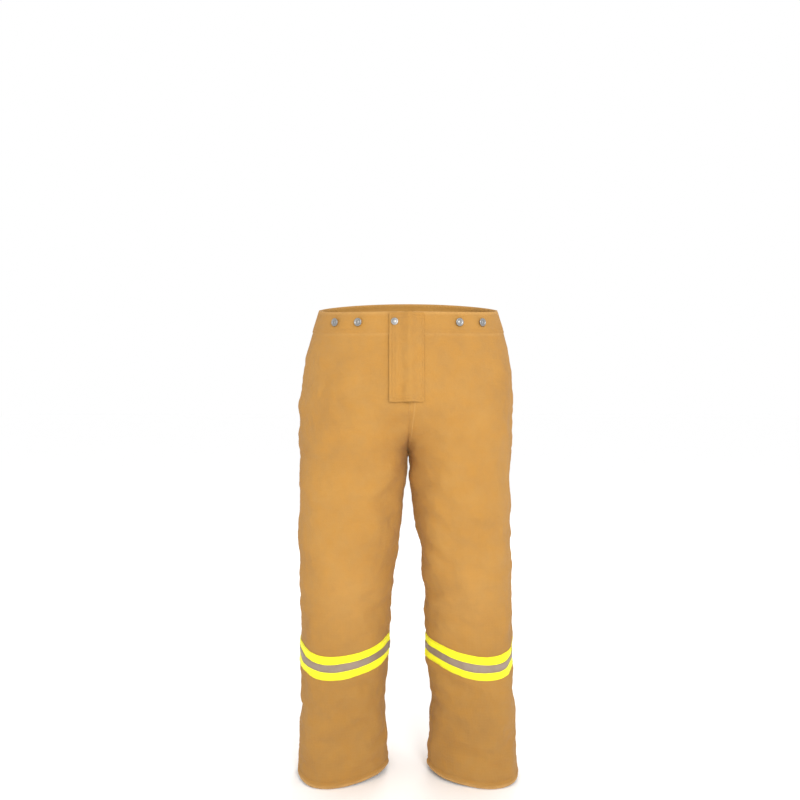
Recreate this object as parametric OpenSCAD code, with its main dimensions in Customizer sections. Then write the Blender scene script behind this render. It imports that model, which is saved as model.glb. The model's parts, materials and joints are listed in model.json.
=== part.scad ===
// Bunker pants: the outer trousers of a firefighter's turnout suit.
// Millimetres. +Z up, the front faces -Y, the wearer's left is +X.
// The origin is the centre of the waist opening, level with its front edge.

/* [Waist and seat] */
// Half of the width across the waistband
waist_half_width = 195; // [185:1:205]
// Half of the width across the hips
hip_half_width = 238; // [230:1:246]
// From the origin forward to the waistband
waist_front_depth = 126; // [120:1:130]
// From the origin back to the waistband
waist_back_depth = 130; // [124:1:136]
// From the origin forward to the belly of the trousers at the bottom of the fly
hip_front_depth = 145; // [140:1:150]
// From the origin back to the seat
hip_back_depth = 158; // [150:1:166]
// How far the waist rises at the back
back_rise = 48; // [30:1:60]
// From the waist down to the crotch
crotch_drop = 290; // [285:1:300]
// Depth of the waistband's facing
waistband_depth = 45; // [38:1:50]

/* [Legs] */
// From the crotch down to the hem
inseam = 713; // [700:1:720]
// Gap between the two hems
hem_gap = 88; // [80:2:96]
// Width of each leg at the hem
hem_width = 206; // [196:2:212]
// Half of the leg's depth just under the crotch
thigh_half_depth = 118; // [112:1:122]
// Half of the leg's depth at the hem
hem_half_depth = 92; // [86:1:96]
// How far the front of the hem turns outward
toe_out = 30; // [20:1:40]

/* [Cloth] */
// Thickness of the outer shell
shell_t = 2.6; // [2:0.1:3]
// Thickness of the quilted liner
liner_t = 4; // [3:0.1:5]
// Thickness of the facings at the waist and the cuffs
facing_t = 2; // [1.5:0.1:2.4]
// Space between two layers of cloth
layer_gap = 0.4; // [0.3:0.1:0.6]
// Space between pieces that move apart
joint_gap = 0.5; // [0.4:0.1:1]

/* [Trim] */
// Height of the fluorescent band below each knee
band_height = 50; // [48:1:52]
// From the crotch down to the band's middle
band_drop = 450; // [440:1:460]
// How much higher the band sits at the sides of the leg than at its front
band_side_rise = 14; // [8:1:16]
// Thickness of the band's tape
band_t = 0.8; // [0.6:0.1:1]
// Height of the turned cuff
cuff_height = 40; // [34:1:44]

/* [Fly] */
// Length of the fly opening
fly_length = 172; // [160:1:174]
// Gap between the two edges of the fly
fly_gap = 18; // [16:1:20]
// From the middle to the sewn edge of the storm flap
flap_sewn_x = 31; // [30:1:34]
// From the middle to the free edge of the storm flap
flap_free_x = 40; // [38:1:44]
// Thickness of the storm flap
flap_t = 3.2; // [2.6:0.1:3.6]
// How far the flap arches out over the zip
flap_arch = 7; // [6:0.5:9]
// Distance between two teeth of the zip
tooth_pitch = 4; // [3.5:0.5:5]

/* [Hardware] */
// Diameter of a brace button
button_d = 17; // [15:0.5:19]
// Thickness of a brace button's head
button_head_t = 4; // [3:0.5:4]
// Diameter of the press stud's cap
stud_d = 15; // [13:0.5:16]
// Width of the take-up straps
strap_width = 25; // [22:1:28]
// Length of a take-up strap
strap_length = 74; // [70:1:80]

/* [Hidden] */

tan = [0.85, 0.65, 0.38];
liner_colour = [0.30, 0.29, 0.27];
fluorescent = [0.96, 0.93, 0.20];
silver = [0.72, 0.70, 0.67];
brass = [0.72, 0.58, 0.30];
steel = [0.70, 0.71, 0.73];
tape_colour = [0.24, 0.21, 0.17];

LEFT = 1;
RIGHT = -1;

// Heights of the cuts between the pieces
crotch_z = -crotch_drop;
hem_z = crotch_z - inseam;
seat_blend = 120;
side_cut_z = -110;
fly_cut_z = -fly_length - 13;
thigh_top_z = crotch_z - 30;
knee_top_z = crotch_z - 210;
shin_top_z = crotch_z - 410;
band_z = crotch_z - band_drop;
cuff_top_z = hem_z + cuff_height;

// Every piece has its columns at these shares of the way round, so layers stay parallel
column_step = 0.05;

// Insets from the outer face of the shell
under_shell = shell_t + layer_gap;

// The front of the seat leans forward by this much for each millimetre down
front_slope = (hip_front_depth - waist_front_depth) / -fly_cut_z;
front_lean = atan(front_slope);

// Seat sections: height, half width, depth forward, depth back
seat_rows = [
    [0, waist_half_width, waist_front_depth, waist_back_depth],
    [-60, waist_half_width + 19, waist_front_depth + 60 * front_slope, waist_back_depth + 14],
    [-120, hip_half_width - 9, waist_front_depth + 120 * front_slope, hip_back_depth - 3],
    [fly_cut_z, hip_half_width, hip_front_depth, hip_back_depth],
    [crotch_z, hip_half_width, hip_front_depth - 4, hip_back_depth - 8],
];

// Leg sections: height, inner edge, outer edge, half depth, middle in Y, turn of the front
hem_inner = hem_gap / 2;
leg_rows = [
    [crotch_z + seat_blend, -60, hip_half_width, thigh_half_depth + 16, 4, 0],
    [crotch_z, 0, hip_half_width + 1, thigh_half_depth, 2, 0],
    [crotch_z - 65, 6, hip_half_width + 1, thigh_half_depth - 4, 2, toe_out * 0.2],
    [crotch_z - 150, 16, hip_half_width + 1, thigh_half_depth - 10, 4, toe_out * 0.4],
    [crotch_z - 245, 29, hip_half_width + 1, thigh_half_depth - 16, 7, toe_out * 0.6],
    [crotch_z - 335, 38, hip_half_width - 1, thigh_half_depth - 18, 11, toe_out * 0.7],
    [band_z, hem_inner - 1, hip_half_width - 1, hem_half_depth + 7, 17, toe_out * 0.8],
    [crotch_z - 560, hem_inner + 7, hip_half_width + 2, hem_half_depth + 3, 21, toe_out * 0.9],
    [crotch_z - 650, hem_inner + 4, hem_inner + hem_width - 5, hem_half_depth - 1, 24, toe_out],
    [hem_z, hem_inner, hem_inner + hem_width, hem_half_depth, 27, toe_out],
];

function mix(a, b, s) = a + (b - a) * s;
function clamp(s) = min(1, max(0, s));
function ease(s) = let(c = clamp(s)) c * c * (3 - 2 * c);

// The row of a table of sections at height z, between its two nearest rows
function section(rows, z, i = 0) =
    (i == len(rows) - 2 || z >= rows[i + 1][0])
    ? mix(rows[i], rows[i + 1], clamp((z - rows[i][0]) / (rows[i + 1][0] - rows[i][0])))
    : section(rows, z, i + 1);

// A leg's oval, cut at the middle plane above the crotch. t goes from the inseam or the
// centre front (0) over the side (0.5) to the inseam or the centre back (1).
function leg_point(z, t, inset) =
    let(
        row = section(leg_rows, z),
        middle = (row[1] + row[2]) / 2,
        half = (row[2] - row[1]) / 2 - inset,
        cut = middle < half ? acos(middle / half) : 0,
        angle = 180 + cut + t * (360 - 2 * cut)
    )
    [middle + half * cos(angle) - row[5] * sin(angle) * abs(sin(angle)),
     row[4] + (row[3] - inset) * sin(angle)];

// Half of the seat's oval
function seat_point(z, t, inset) =
    let(
        row = section(seat_rows, z),
        angle = 180 * t - 90,
        depth = (t < 0.5 ? row[2] : row[3]) - inset
    )
    [(row[1] - inset) * cos(angle), depth * sin(angle)];

// The cloth of the left half, inset from the shell's outer face
function cloth(z, t, inset) =
    let(
        blend = ease((z - crotch_z) / seat_blend),
        flat = mix(leg_point(z, t, inset), seat_point(z, t, inset), blend),
        rise = back_rise * ease(1 + z / 200) * pow((1 - cos(180 * t)) / 2, 1.5)
    )
    [flat[0], flat[1], z + rise];

// The whole seat, u from the centre front round by the left side and back again
function seat_cloth(z, u, inset) =
    let(p = cloth(z, u < 0.5 ? 2 * u : 2 - 2 * u, inset))
    [u < 0.5 ? p[0] : -p[0], p[1], p[2]];

// The lower edge of the seat's firm part: low at the fly, high at the sides
function seat_edge(t) = mix(fly_cut_z, side_cut_z, pow(sin(180 * t), 0.8));

// The share of the way round where the cloth is this far from the middle plane
function t_at(x) = asin(x / waist_half_width) / 180;

function strip(a, b, next_a, next_b) = [[a, next_a, b], [b, next_a, next_b]];
function turned_strip(a, b, next_a, next_b) = [[a, b, next_a], [b, next_b, next_a]];

// A closed skin from two grids of points: the outer one and then the inner one.
// wrapped joins the last column to the first.
module skin(points, rows, columns, wrapped = false) {
    layer = rows * columns;
    last = wrapped ? columns - 1 : columns - 2;
    function at(side, r, c) = side * layer + r * columns + c % columns;
    outer = [for (r = [0 : rows - 2], c = [0 : last])
        each strip(at(0, r, c), at(0, r, c + 1), at(0, r + 1, c), at(0, r + 1, c + 1))];
    inner = [for (r = [0 : rows - 2], c = [0 : last])
        each turned_strip(at(1, r, c), at(1, r, c + 1), at(1, r + 1, c), at(1, r + 1, c + 1))];
    top = [for (c = [0 : last])
        each strip(at(1, 0, c), at(1, 0, c + 1), at(0, 0, c), at(0, 0, c + 1))];
    bottom = [for (c = [0 : last])
        each turned_strip(at(1, rows - 1, c), at(1, rows - 1, c + 1),
                          at(0, rows - 1, c), at(0, rows - 1, c + 1))];
    first_end = [for (r = [0 : rows - 2])
        each strip(at(1, r, 0), at(0, r, 0), at(1, r + 1, 0), at(0, r + 1, 0))];
    last_end = [for (r = [0 : rows - 2])
        each turned_strip(at(1, r, columns - 1), at(0, r, columns - 1),
                          at(1, r + 1, columns - 1), at(0, r + 1, columns - 1))];
    ends = wrapped ? [] : concat(first_end, last_end);
    polyhedron(points, concat(outer, inner, top, bottom, ends), convexity = 6);
}

function steps(from, to, count) = [for (i = [0 : count]) mix(from, to, i / count)];

fly_t = t_at(fly_gap / 2);
facing_start_t = t_at(flap_sewn_x + 6);
liner_end_t = 0.01;
// The liner hangs a little looser in the groin
groin_ease = 1.2;

// Every layer has the same columns, so that no layer cuts across a corner of the next
shared_columns = concat([0, fly_t, column_step, facing_start_t],
                        steps(2 * column_step, 1 - column_step, round(1 / column_step) - 3));

// The columns between two shares of the way round
function columns_between(t_from, t_to) =
    let(margin = column_step / 20)
    concat([t_from],
           [for (t = shared_columns) if (t > t_from + margin && t < t_to - margin) t],
           [t_to]);

// A panel of cloth between two shares of the way round
module panel(side, heights, t_from, t_to, inset, thick) {
    columns = columns_between(t_from, t_to);
    points = [for (layer = [0, 1], h = heights, t = columns)
        cloth(row_z(h, t), t, inset + layer * thick)];
    mirror([side == RIGHT ? 1 : 0, 0, 0]) skin(points, len(heights), len(columns));
}

// A row is a height, or [height, share]: that share of the way from the height to the
// seat's slanted edge
function row_z(row, t) = is_num(row) ? row : mix(row[0], seat_edge(t), row[1]);

// A sleeve of cloth right round one leg. It may sit higher at the sides of the leg than at
// its front and back.
module sleeve(side, heights, inset, thick, side_rise = 0) {
    points = [for (layer = [0, 1], h = heights, t = shared_columns)
        cloth(h + side_rise * pow(cos(360 * t), 2), t, inset + layer * thick)];
    mirror([side == RIGHT ? 1 : 0, 0, 0]) skin(points, len(heights), len(shared_columns), true);
}

facing_rows = steps(0, -waistband_depth, 2);
seat_rows_below = [for (share = steps(0, 1, 3)) [-waistband_depth, share]];
hip_rows = concat(facing_rows, [for (i = [1 : 3]) seat_rows_below[i]]);
groin_rows = [for (share = steps(1, 0, 6)) [thigh_top_z + joint_gap, share]];
// The groin's liner ends just short of the seat's liner
groin_liner_rows = [for (row = groin_rows) [row[0], min(row[1], 0.993)]];

module hip_panel(side, front) {
    color(tan)
        panel(side, hip_rows, front ? fly_t : 0.5, front ? 0.5 : 1, 0, shell_t);
}

module groin_panel(side, front) {
    color(tan)
        panel(side, groin_rows, front ? 0 : 0.5, front ? 0.5 : 1, 0, shell_t);
}

module groin_liner(side) {
    color(liner_colour)
        panel(side, groin_liner_rows, liner_end_t, 1 - liner_end_t, under_shell + groin_ease, liner_t);
}

// An open ring round the seat, from one side of the fly to the other
module open_ring(rows, inset, thick) {
    half = columns_between(facing_start_t, 1);
    around = concat([for (t = half) t / 2], [for (i = [len(half) - 2 : -1 : 0]) 1 - half[i] / 2]);
    points = [for (layer = [0, 1], row = rows, u = around)
        seat_cloth(row_z(row, u < 0.5 ? 2 * u : 2 - 2 * u), u, inset + layer * thick)];
    skin(points, len(rows), len(around));
}

module waistband_facing() {
    color(tan) open_ring(facing_rows, under_shell, facing_t);
}

module seat_liner() {
    color(liner_colour)
        open_ring([for (row = seat_rows_below) [row[0] - layer_gap, row[1]]], under_shell, liner_t);
}

// A leg's rows: its two ends, and each of the leg's sections between them
function leg_heights(from, to) =
    concat([from], [for (row = leg_rows) if (row[0] < from - 1 && row[0] > to + 1) row[0]], [to]);

thigh_heights = leg_heights(thigh_top_z, knee_top_z);
knee_heights = leg_heights(knee_top_z, shin_top_z + joint_gap);
shin_heights = leg_heights(shin_top_z, hem_z);
shin_liner_heights = leg_heights(shin_top_z, cuff_top_z + layer_gap);

module leg_panel(side, heights, front) {
    color(tan) panel(side, heights, front ? 0 : 0.5, front ? 0.5 : 1, 0, shell_t);
}

module leg_liner(side, heights) {
    color(liner_colour) sleeve(side, heights, under_shell, liner_t);
}

band_inset = -2 * layer_gap - band_t;

module fluorescent_band(side) {
    color(fluorescent)
        sleeve(side, leg_heights(band_z + band_height / 2, band_z - band_height / 2),
               band_inset, band_t, band_side_rise);
}

module reflective_stripe(side) {
    color(silver)
        sleeve(side, leg_heights(band_z + band_height / 6, band_z - band_height / 6),
               band_inset - layer_gap - band_t, band_t, band_side_rise);
}

module cuff_facing(side) {
    color(tan)
        sleeve(side, leg_heights(cuff_top_z, hem_z + 1), under_shell, facing_t);
}

// ---- The fly ----

// Puts children on the leaning front of the seat: the origin is the top of the zip,
// +Z up along the zip, -Y out of the cloth
module on_fly() {
    translate([0, -waist_front_depth, 0]) rotate([-front_lean, 0, 0]) children();
}

// How far the front's oval falls back at this distance from the middle
function fall_back(x) =
    let(wide = waist_half_width + 19, deep = waist_front_depth + 6)
    deep * (1 - sqrt(1 - pow(x / wide, 2)));

zip_top = -4;
zip_bottom = -fly_length;
zip_y = under_shell + 0.5;
zip_tape_t = 1;
tooth_t = 2.4;
tooth_reach = 3;
slider_plate_t = 1.2;
shield_half_width = 24;
shield_y = zip_y + zip_tape_t / 2 + tooth_t / 2 + slider_plate_t + 2 * joint_gap;

module fly_plate(x_from, x_to, z_from, z_to, face, thick, columns = 8) {
    points = [for (layer = [0, 1], z = [z_from, z_to], c = [0 : columns])
        let(x = mix(x_from, x_to, c / columns))
        [x, fall_back(x) + face + layer * thick, z]];
    skin(points, 2, columns + 1);
}

module fly_shield() {
    color(tan)
        on_fly()
            fly_plate(-shield_half_width, shield_half_width, -2, zip_bottom, shield_y, facing_t);
}

module zip_tape(side) {
    tape_from = tooth_reach / 2 + layer_gap;
    color(tape_colour)
        on_fly()
            translate([side == LEFT ? tape_from : -tape_from - 12, zip_y, zip_bottom])
                cube([12, zip_tape_t, zip_top - zip_bottom]);
}

module zip_chain() {
    count = floor((zip_top - zip_bottom - 8) / tooth_pitch);
    color(brass)
        on_fly()
            for (i = [0 : count - 1])
                translate([i % 2 == 0 ? -tooth_reach / 2 : -tooth_reach / 2 + 0.6,
                           zip_y + zip_tape_t / 2 - tooth_t / 2,
                           zip_bottom + 4 + i * tooth_pitch])
                    cube([tooth_reach - 0.6, tooth_t, tooth_pitch * 0.7]);
}

module zip_stops() {
    stop_h = 2.4;
    color(brass)
        on_fly()
            for (z = [zip_top - stop_h, zip_bottom])
                translate([-tooth_reach / 2, zip_y + zip_tape_t / 2 - tooth_t / 2, z])
                    cube([tooth_reach, tooth_t, stop_h]);
}

slider_w = 11;
slider_h = 13;
slider_face = zip_y + zip_tape_t / 2 - tooth_t / 2 - joint_gap;
slider_z = zip_top - 4 - slider_h;
pull_pin_z = slider_z + slider_h / 2;
pull_pin_y = slider_face - slider_plate_t - 1.7;
pull_pin_d = 1.2;
pull_t = 1.4;
pull_w = 4.6;
pull_length = 16;
lug_x = 3.4;
lug_t = 1.6;
lug_h = 2.6;

module zip_slider() {
    color(brass)
        on_fly() {
            translate([-slider_w / 2, slider_face - slider_plate_t, slider_z])
                cube([slider_w, slider_plate_t, slider_h]);
            for (side = [LEFT, RIGHT])
                translate([side * lug_x - lug_t / 2, pull_pin_y - lug_h / 2, pull_pin_z - lug_h / 2])
                    cube([lug_t, slider_face - pull_pin_y, lug_h]);
            translate([0, pull_pin_y, pull_pin_z])
                rotate([0, 90, 0])
                    cylinder(d = pull_pin_d, h = 2 * lug_x, center = true, $fn = 32);
            translate([-slider_w / 2, zip_y + zip_tape_t / 2 + tooth_t / 2 + joint_gap, slider_z])
                cube([slider_w, slider_plate_t, slider_h]);
        }
}

module zip_pull() {
    color(brass)
        on_fly()
            translate([0, pull_pin_y, pull_pin_z])
                difference() {
                    union() {
                        rotate([0, 90, 0])
                            cylinder(d = 2 * pull_pin_d, h = pull_w, center = true, $fn = 32);
                        translate([-pull_w / 2, -pull_t / 2, -pull_length])
                            cube([pull_w, pull_t, pull_length]);
                    }
                    rotate([0, 90, 0])
                        cylinder(d = pull_pin_d + 0.1, h = 2 * pull_w, center = true, $fn = 32);
                    translate([0, 0, -pull_length + 3])
                        rotate([90, 0, 0])
                            cylinder(d = pull_w - 2.4, h = 2 * pull_t, center = true, $fn = 32);
                }
}

// The storm flap's inner face above the cloth: low at the sewn edge, arched over the zip,
// and clear of both tapes at the free edge
loop_t = 1.2;
flap_edge_lift = 2 * loop_t + 2 * layer_gap;
function flap_lift(x) =
    mix(flap_edge_lift, joint_gap, ease(x / flap_sewn_x))
    + flap_arch * pow(cos(90 * min(1, abs(x - 2) / 19)), 2);

module fly_flap() {
    columns = 18;
    points = [for (layer = [0, 1], z = steps(-1, zip_bottom - 12, 3), c = [0 : columns])
        let(x = mix(-flap_free_x, flap_sewn_x, c / columns))
        [x, fall_back(x) - flap_lift(x) - (1 - layer) * flap_t, z]];
    color(tan) on_fly() skin(points, 4, columns + 1);
}

tape_outer_x = flap_free_x - 2;
tape_inner_x = 20;
tape_top = -40;

module fly_hook_tape() {
    color(tape_colour)
        on_fly()
            fly_plate(-tape_outer_x, -tape_inner_x, tape_top, zip_bottom + 4,
                      -flap_edge_lift + 0.1, loop_t, 4);
}

module fly_loop_tape() {
    color(tape_colour)
        on_fly()
            fly_plate(-tape_outer_x, -tape_inner_x, tape_top, zip_bottom + 4,
                      -loop_t - 0.3, loop_t, 4);
}

stud_x = -(tape_outer_x + tape_inner_x) / 2;
stud_z = -20;

module press_stud_cap() {
    color(steel)
        on_fly()
            translate([stud_x, fall_back(stud_x) - flap_edge_lift - flap_t - 0.8, stud_z])
                rotate([90, 0, 0])
                    union() {
                        cylinder(d = stud_d, h = 1.6, $fn = 48);
                        cylinder(d1 = stud_d, d2 = stud_d - 3, h = 2.4, $fn = 48);
                    }
}

module press_stud_post() {
    color(steel)
        on_fly()
            translate([stud_x, fall_back(stud_x), stud_z])
                rotate([90, 0, 0])
                    cylinder(d = stud_d - 7, h = flap_edge_lift - joint_gap, $fn = 48);
}

// ---- Pieces round the waist ----

// Puts children on the shell at height z and share t: local -Y points out of the cloth
module on_shell(side, z, t) {
    here = cloth(z, t, 0);
    ahead = cloth(z, t + 0.01, 0);
    heading = atan2(ahead[1] - here[1], ahead[0] - here[0]);
    mirror([side == RIGHT ? 1 : 0, 0, 0])
        translate(here) rotate([0, 0, heading]) children();
}

button_z = -20;
button_stand = 5;
front_button_t = [0.17, 0.27];
back_button_t = [0.86, 0.94];

module brace_buttons() {
    color(steel)
        for (side = [LEFT, RIGHT], t = concat(front_button_t, back_button_t))
            on_shell(side, button_z, t)
                rotate([90, 0, 0]) {
                    translate([0, 0, joint_gap])
                        cylinder(d = button_d / 2.4, h = button_stand, $fn = 32);
                    translate([0, 0, button_stand])
                        cylinder(d = button_d, h = button_head_t, $fn = 48);
                }
}

strap_t = 2;
strap_z = -26;
strap_share = 0.76;
strap_stand = 7;
buckle_depth = 8;
buckle_wall = 2.2;
buckle_gap = 0.6;
buckle_x = -18;
anchor_t = 1.6;

// The sewn tab that holds the buckle
module strap_anchor(side) {
    color(tan)
        on_shell(side, strap_z, strap_share)
            translate([buckle_x - 20, -strap_stand + buckle_gap + buckle_wall, -strap_width / 2])
                cube([24, anchor_t, strap_width]);
}

// A metal keeper that the strap is drawn through
module slide_buckle(side) {
    inner_h = strap_width + 2 * buckle_gap;
    inner_t = strap_t + 2 * buckle_gap;
    color(steel)
        on_shell(side, strap_z, strap_share)
            translate([buckle_x, -strap_stand - strap_t / 2, 0])
                difference() {
                    cube([buckle_depth, inner_t + 2 * buckle_wall, inner_h + 2 * buckle_wall],
                         center = true);
                    cube([buckle_depth + 2, inner_t, inner_h], center = true);
                }
}

module takeup_strap(side) {
    color(tan)
        on_shell(side, strap_z, strap_share)
            translate([-strap_length / 2 - 4, -strap_stand - strap_t, -strap_width / 2])
                cube([strap_length, strap_t, strap_width]);
}

hip_panel(LEFT, true);  // left_hip_front_panel
hip_panel(LEFT, false);  // left_hip_back_panel
hip_panel(RIGHT, true);  // right_hip_front_panel
hip_panel(RIGHT, false);  // right_hip_back_panel
groin_panel(LEFT, true);  // left_groin_front_panel
groin_panel(LEFT, false);  // left_groin_back_panel
groin_panel(RIGHT, true);  // right_groin_front_panel
groin_panel(RIGHT, false);  // right_groin_back_panel
waistband_facing();
seat_liner();
groin_liner(LEFT);  // left_groin_liner
groin_liner(RIGHT);  // right_groin_liner
fly_shield();
zip_tape(LEFT);  // left_zip_tape
zip_tape(RIGHT);  // right_zip_tape
zip_chain();
zip_stops();
fly_flap();
fly_hook_tape();
fly_loop_tape();
press_stud_cap();
press_stud_post();
zip_slider();
zip_pull();
brace_buttons();
strap_anchor(LEFT);  // left_strap_anchor
strap_anchor(RIGHT);  // right_strap_anchor
slide_buckle(LEFT);  // left_slide_buckle
slide_buckle(RIGHT);  // right_slide_buckle
takeup_strap(LEFT);  // left_takeup_strap
takeup_strap(RIGHT);  // right_takeup_strap
leg_panel(LEFT, thigh_heights, true);  // left_thigh_front_panel
leg_panel(LEFT, thigh_heights, false);  // left_thigh_back_panel
leg_liner(LEFT, thigh_heights);  // left_thigh_liner
leg_panel(RIGHT, thigh_heights, true);  // right_thigh_front_panel
leg_panel(RIGHT, thigh_heights, false);  // right_thigh_back_panel
leg_liner(RIGHT, thigh_heights);  // right_thigh_liner
leg_panel(LEFT, knee_heights, true);  // left_knee_front_panel
leg_panel(LEFT, knee_heights, false);  // left_knee_back_panel
leg_liner(LEFT, knee_heights);  // left_knee_liner
leg_panel(RIGHT, knee_heights, true);  // right_knee_front_panel
leg_panel(RIGHT, knee_heights, false);  // right_knee_back_panel
leg_liner(RIGHT, knee_heights);  // right_knee_liner
leg_panel(LEFT, shin_heights, true);  // left_shin_front_panel
leg_panel(LEFT, shin_heights, false);  // left_shin_back_panel
leg_liner(LEFT, shin_liner_heights);  // left_shin_liner
leg_panel(RIGHT, shin_heights, true);  // right_shin_front_panel
leg_panel(RIGHT, shin_heights, false);  // right_shin_back_panel
leg_liner(RIGHT, shin_liner_heights);  // right_shin_liner
fluorescent_band(LEFT);  // left_fluorescent_band
fluorescent_band(RIGHT);  // right_fluorescent_band
reflective_stripe(LEFT);  // left_reflective_stripe
reflective_stripe(RIGHT);  // right_reflective_stripe
cuff_facing(LEFT);  // left_cuff_facing
cuff_facing(RIGHT);  // right_cuff_facing
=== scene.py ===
import json
import math

import bmesh
import bpy
import numpy as np
from mathutils import Matrix, Vector


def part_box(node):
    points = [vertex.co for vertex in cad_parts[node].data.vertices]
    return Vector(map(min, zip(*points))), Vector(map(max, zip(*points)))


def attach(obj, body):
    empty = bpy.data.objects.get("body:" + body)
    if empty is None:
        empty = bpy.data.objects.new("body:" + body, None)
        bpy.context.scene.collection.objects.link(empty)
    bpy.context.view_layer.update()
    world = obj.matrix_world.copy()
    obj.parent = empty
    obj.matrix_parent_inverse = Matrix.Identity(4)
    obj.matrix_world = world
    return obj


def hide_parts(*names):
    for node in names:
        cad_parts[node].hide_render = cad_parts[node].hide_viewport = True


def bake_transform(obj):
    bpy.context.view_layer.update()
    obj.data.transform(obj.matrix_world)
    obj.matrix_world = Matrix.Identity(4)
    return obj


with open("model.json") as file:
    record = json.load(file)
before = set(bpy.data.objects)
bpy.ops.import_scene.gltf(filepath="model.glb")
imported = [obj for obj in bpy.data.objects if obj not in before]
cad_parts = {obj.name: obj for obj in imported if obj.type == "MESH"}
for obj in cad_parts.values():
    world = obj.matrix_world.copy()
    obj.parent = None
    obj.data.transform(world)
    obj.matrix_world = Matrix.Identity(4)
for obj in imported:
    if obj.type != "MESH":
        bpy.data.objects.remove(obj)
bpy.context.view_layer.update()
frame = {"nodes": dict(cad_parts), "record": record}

# Bunker pants, in metres. +Z up, the front faces -Y, the wearer's left is +X.

LEFT, RIGHT = 1, -1
SIDE = {"left": LEFT, "right": RIGHT}
SEED = 20

# ---- shape of the trousers

CROTCH_Z = -0.290
HEM_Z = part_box("left_shin_front_panel")[0][2]
SPLIT_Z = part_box("left_thigh_front_panel")[0][2]
KNEE_END_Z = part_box("left_shin_front_panel")[1][2]
SEAT_BLEND = 0.120
BACK_RISE = 0.048
FLY_BOTTOM_Z = -0.178
WAISTBAND = 0.045
# The hem hangs higher at the sides of the leg than at its front and back
HEM_RISE = 0.010

# height, half width, depth forward, depth back
SEAT_ROWS = np.array([
    [0.000, 0.195, 0.1260, 0.130],
    [-0.060, 0.214, 0.1322, 0.144],
    [-0.120, 0.229, 0.1383, 0.155],
    [-0.185, 0.238, 0.1450, 0.158],
    [-0.290, 0.238, 0.1410, 0.150],
])
# height, inner edge, outer edge, half depth, middle in Y, turn of the front
LEG_ROWS = np.array([
    [-0.170, -0.060, 0.238, 0.134, 0.004, 0.0000],
    [-0.290, 0.000, 0.239, 0.118, 0.002, 0.0000],
    [-0.355, 0.006, 0.239, 0.114, 0.002, 0.0060],
    [-0.440, 0.016, 0.239, 0.108, 0.004, 0.0120],
    [-0.535, 0.029, 0.239, 0.102, 0.007, 0.0180],
    [-0.625, 0.038, 0.237, 0.100, 0.011, 0.0210],
    [-0.740, 0.043, 0.237, 0.099, 0.017, 0.0240],
    [-0.850, 0.051, 0.240, 0.095, 0.021, 0.0270],
    [-0.940, 0.048, 0.245, 0.091, 0.024, 0.0300],
    [-1.003, 0.044, 0.250, 0.092, 0.027, 0.0300],
])


def mirror(points, side):
    """Points of the left half on this side."""
    return points * [side, 1, 1]


def share_at(x, half_width):
    """The share of the seat's front at a distance from the middle."""
    return math.asin(x / half_width) / math.pi


def ease(s):
    c = np.clip(s, 0, 1)
    return c * c * (3 - 2 * c)


def bump_at(distance, width):
    """1 at distance 0, falling smoothly to 0 at width."""
    return 1 - ease(np.abs(distance) / width)


def with_extras(values, extras, gap):
    """Sorted values with the extras among them, and none of the others closer to one than gap."""
    kept = [v for v in values if np.min(np.abs(np.array(extras) - v)) > gap]
    return np.array(sorted(kept + list(extras)))


def section(rows, z):
    """The columns of a table of sections at heights z, on a smooth curve through its rows."""
    up = rows[::-1]
    x, y = up[:, 0], up[:, 1:]
    slope = np.gradient(y, x, axis=0)
    z = np.clip(z, x[0], x[-1])
    i = np.clip(np.searchsorted(x, z) - 1, 0, len(x) - 2)
    h = (x[i + 1] - x[i])[..., None]
    s = ((z - x[i]) / (x[i + 1] - x[i]))[..., None]
    a = y[i] * (1 + 2 * s) * (1 - s) ** 2 + y[i + 1] * s * s * (3 - 2 * s)
    return a + h * (slope[i] * s * (1 - s) ** 2 + slope[i + 1] * s * s * (s - 1))


def cloth(z, t, inset=0.0):
    """The left half of the trousers. t runs from the centre front or inseam (0) over the side
    seam (0.5) to the centre back or inseam (1)."""
    z, t, inset = np.broadcast_arrays(np.asarray(z, float), np.asarray(t, float), inset)
    leg = section(LEG_ROWS, z)
    middle = (leg[..., 0] + leg[..., 1]) / 2
    half = (leg[..., 1] - leg[..., 0]) / 2 - inset
    cut = np.arccos(np.clip(middle / half, -1, 1))
    angle = math.pi * (1 + 2 * t) + cut * np.sign(1 - 2 * t) * np.abs(1 - 2 * t) ** 2.6
    leg_x = middle + half * np.cos(angle) - leg[..., 4] * np.sin(angle) * np.abs(np.sin(angle))
    leg_y = leg[..., 3] + (leg[..., 2] - inset) * np.sin(angle)
    seat = section(SEAT_ROWS, z)
    turn = math.pi * (t - 0.5)
    depth = np.where(t < 0.5, seat[..., 1], seat[..., 2]) - inset
    blend = ease((z - CROTCH_Z) / SEAT_BLEND)
    x = leg_x + ((seat[..., 0] - inset) * np.cos(turn) - leg_x) * blend
    y = leg_y + (depth * np.sin(turn) - leg_y) * blend
    rise = BACK_RISE * ease(1 + z / 0.2) * ((1 - np.cos(math.pi * t)) / 2) ** 1.5
    rise = rise + HEM_RISE * np.cos(2 * math.pi * t) ** 2 * ease((HEM_Z + 0.15 - z) / 0.15)
    return np.stack([x, y, z + rise], -1)


def row_heights(step):
    """Heights from the waist to the hem, crowded just above the crotch, where the cloth turns
    under."""
    near = CROTCH_Z + step * (np.arange(0, 7) ** 2) / 7.0
    above = np.arange(near[-1] + step, -step * 0.4, step)
    below = np.linspace(CROTCH_Z, HEM_Z, int(round((CROTCH_Z - HEM_Z) / step)) + 1)
    return np.concatenate([[0.0], above[::-1], near[::-1], below[1:]])


# ---- draping

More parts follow.
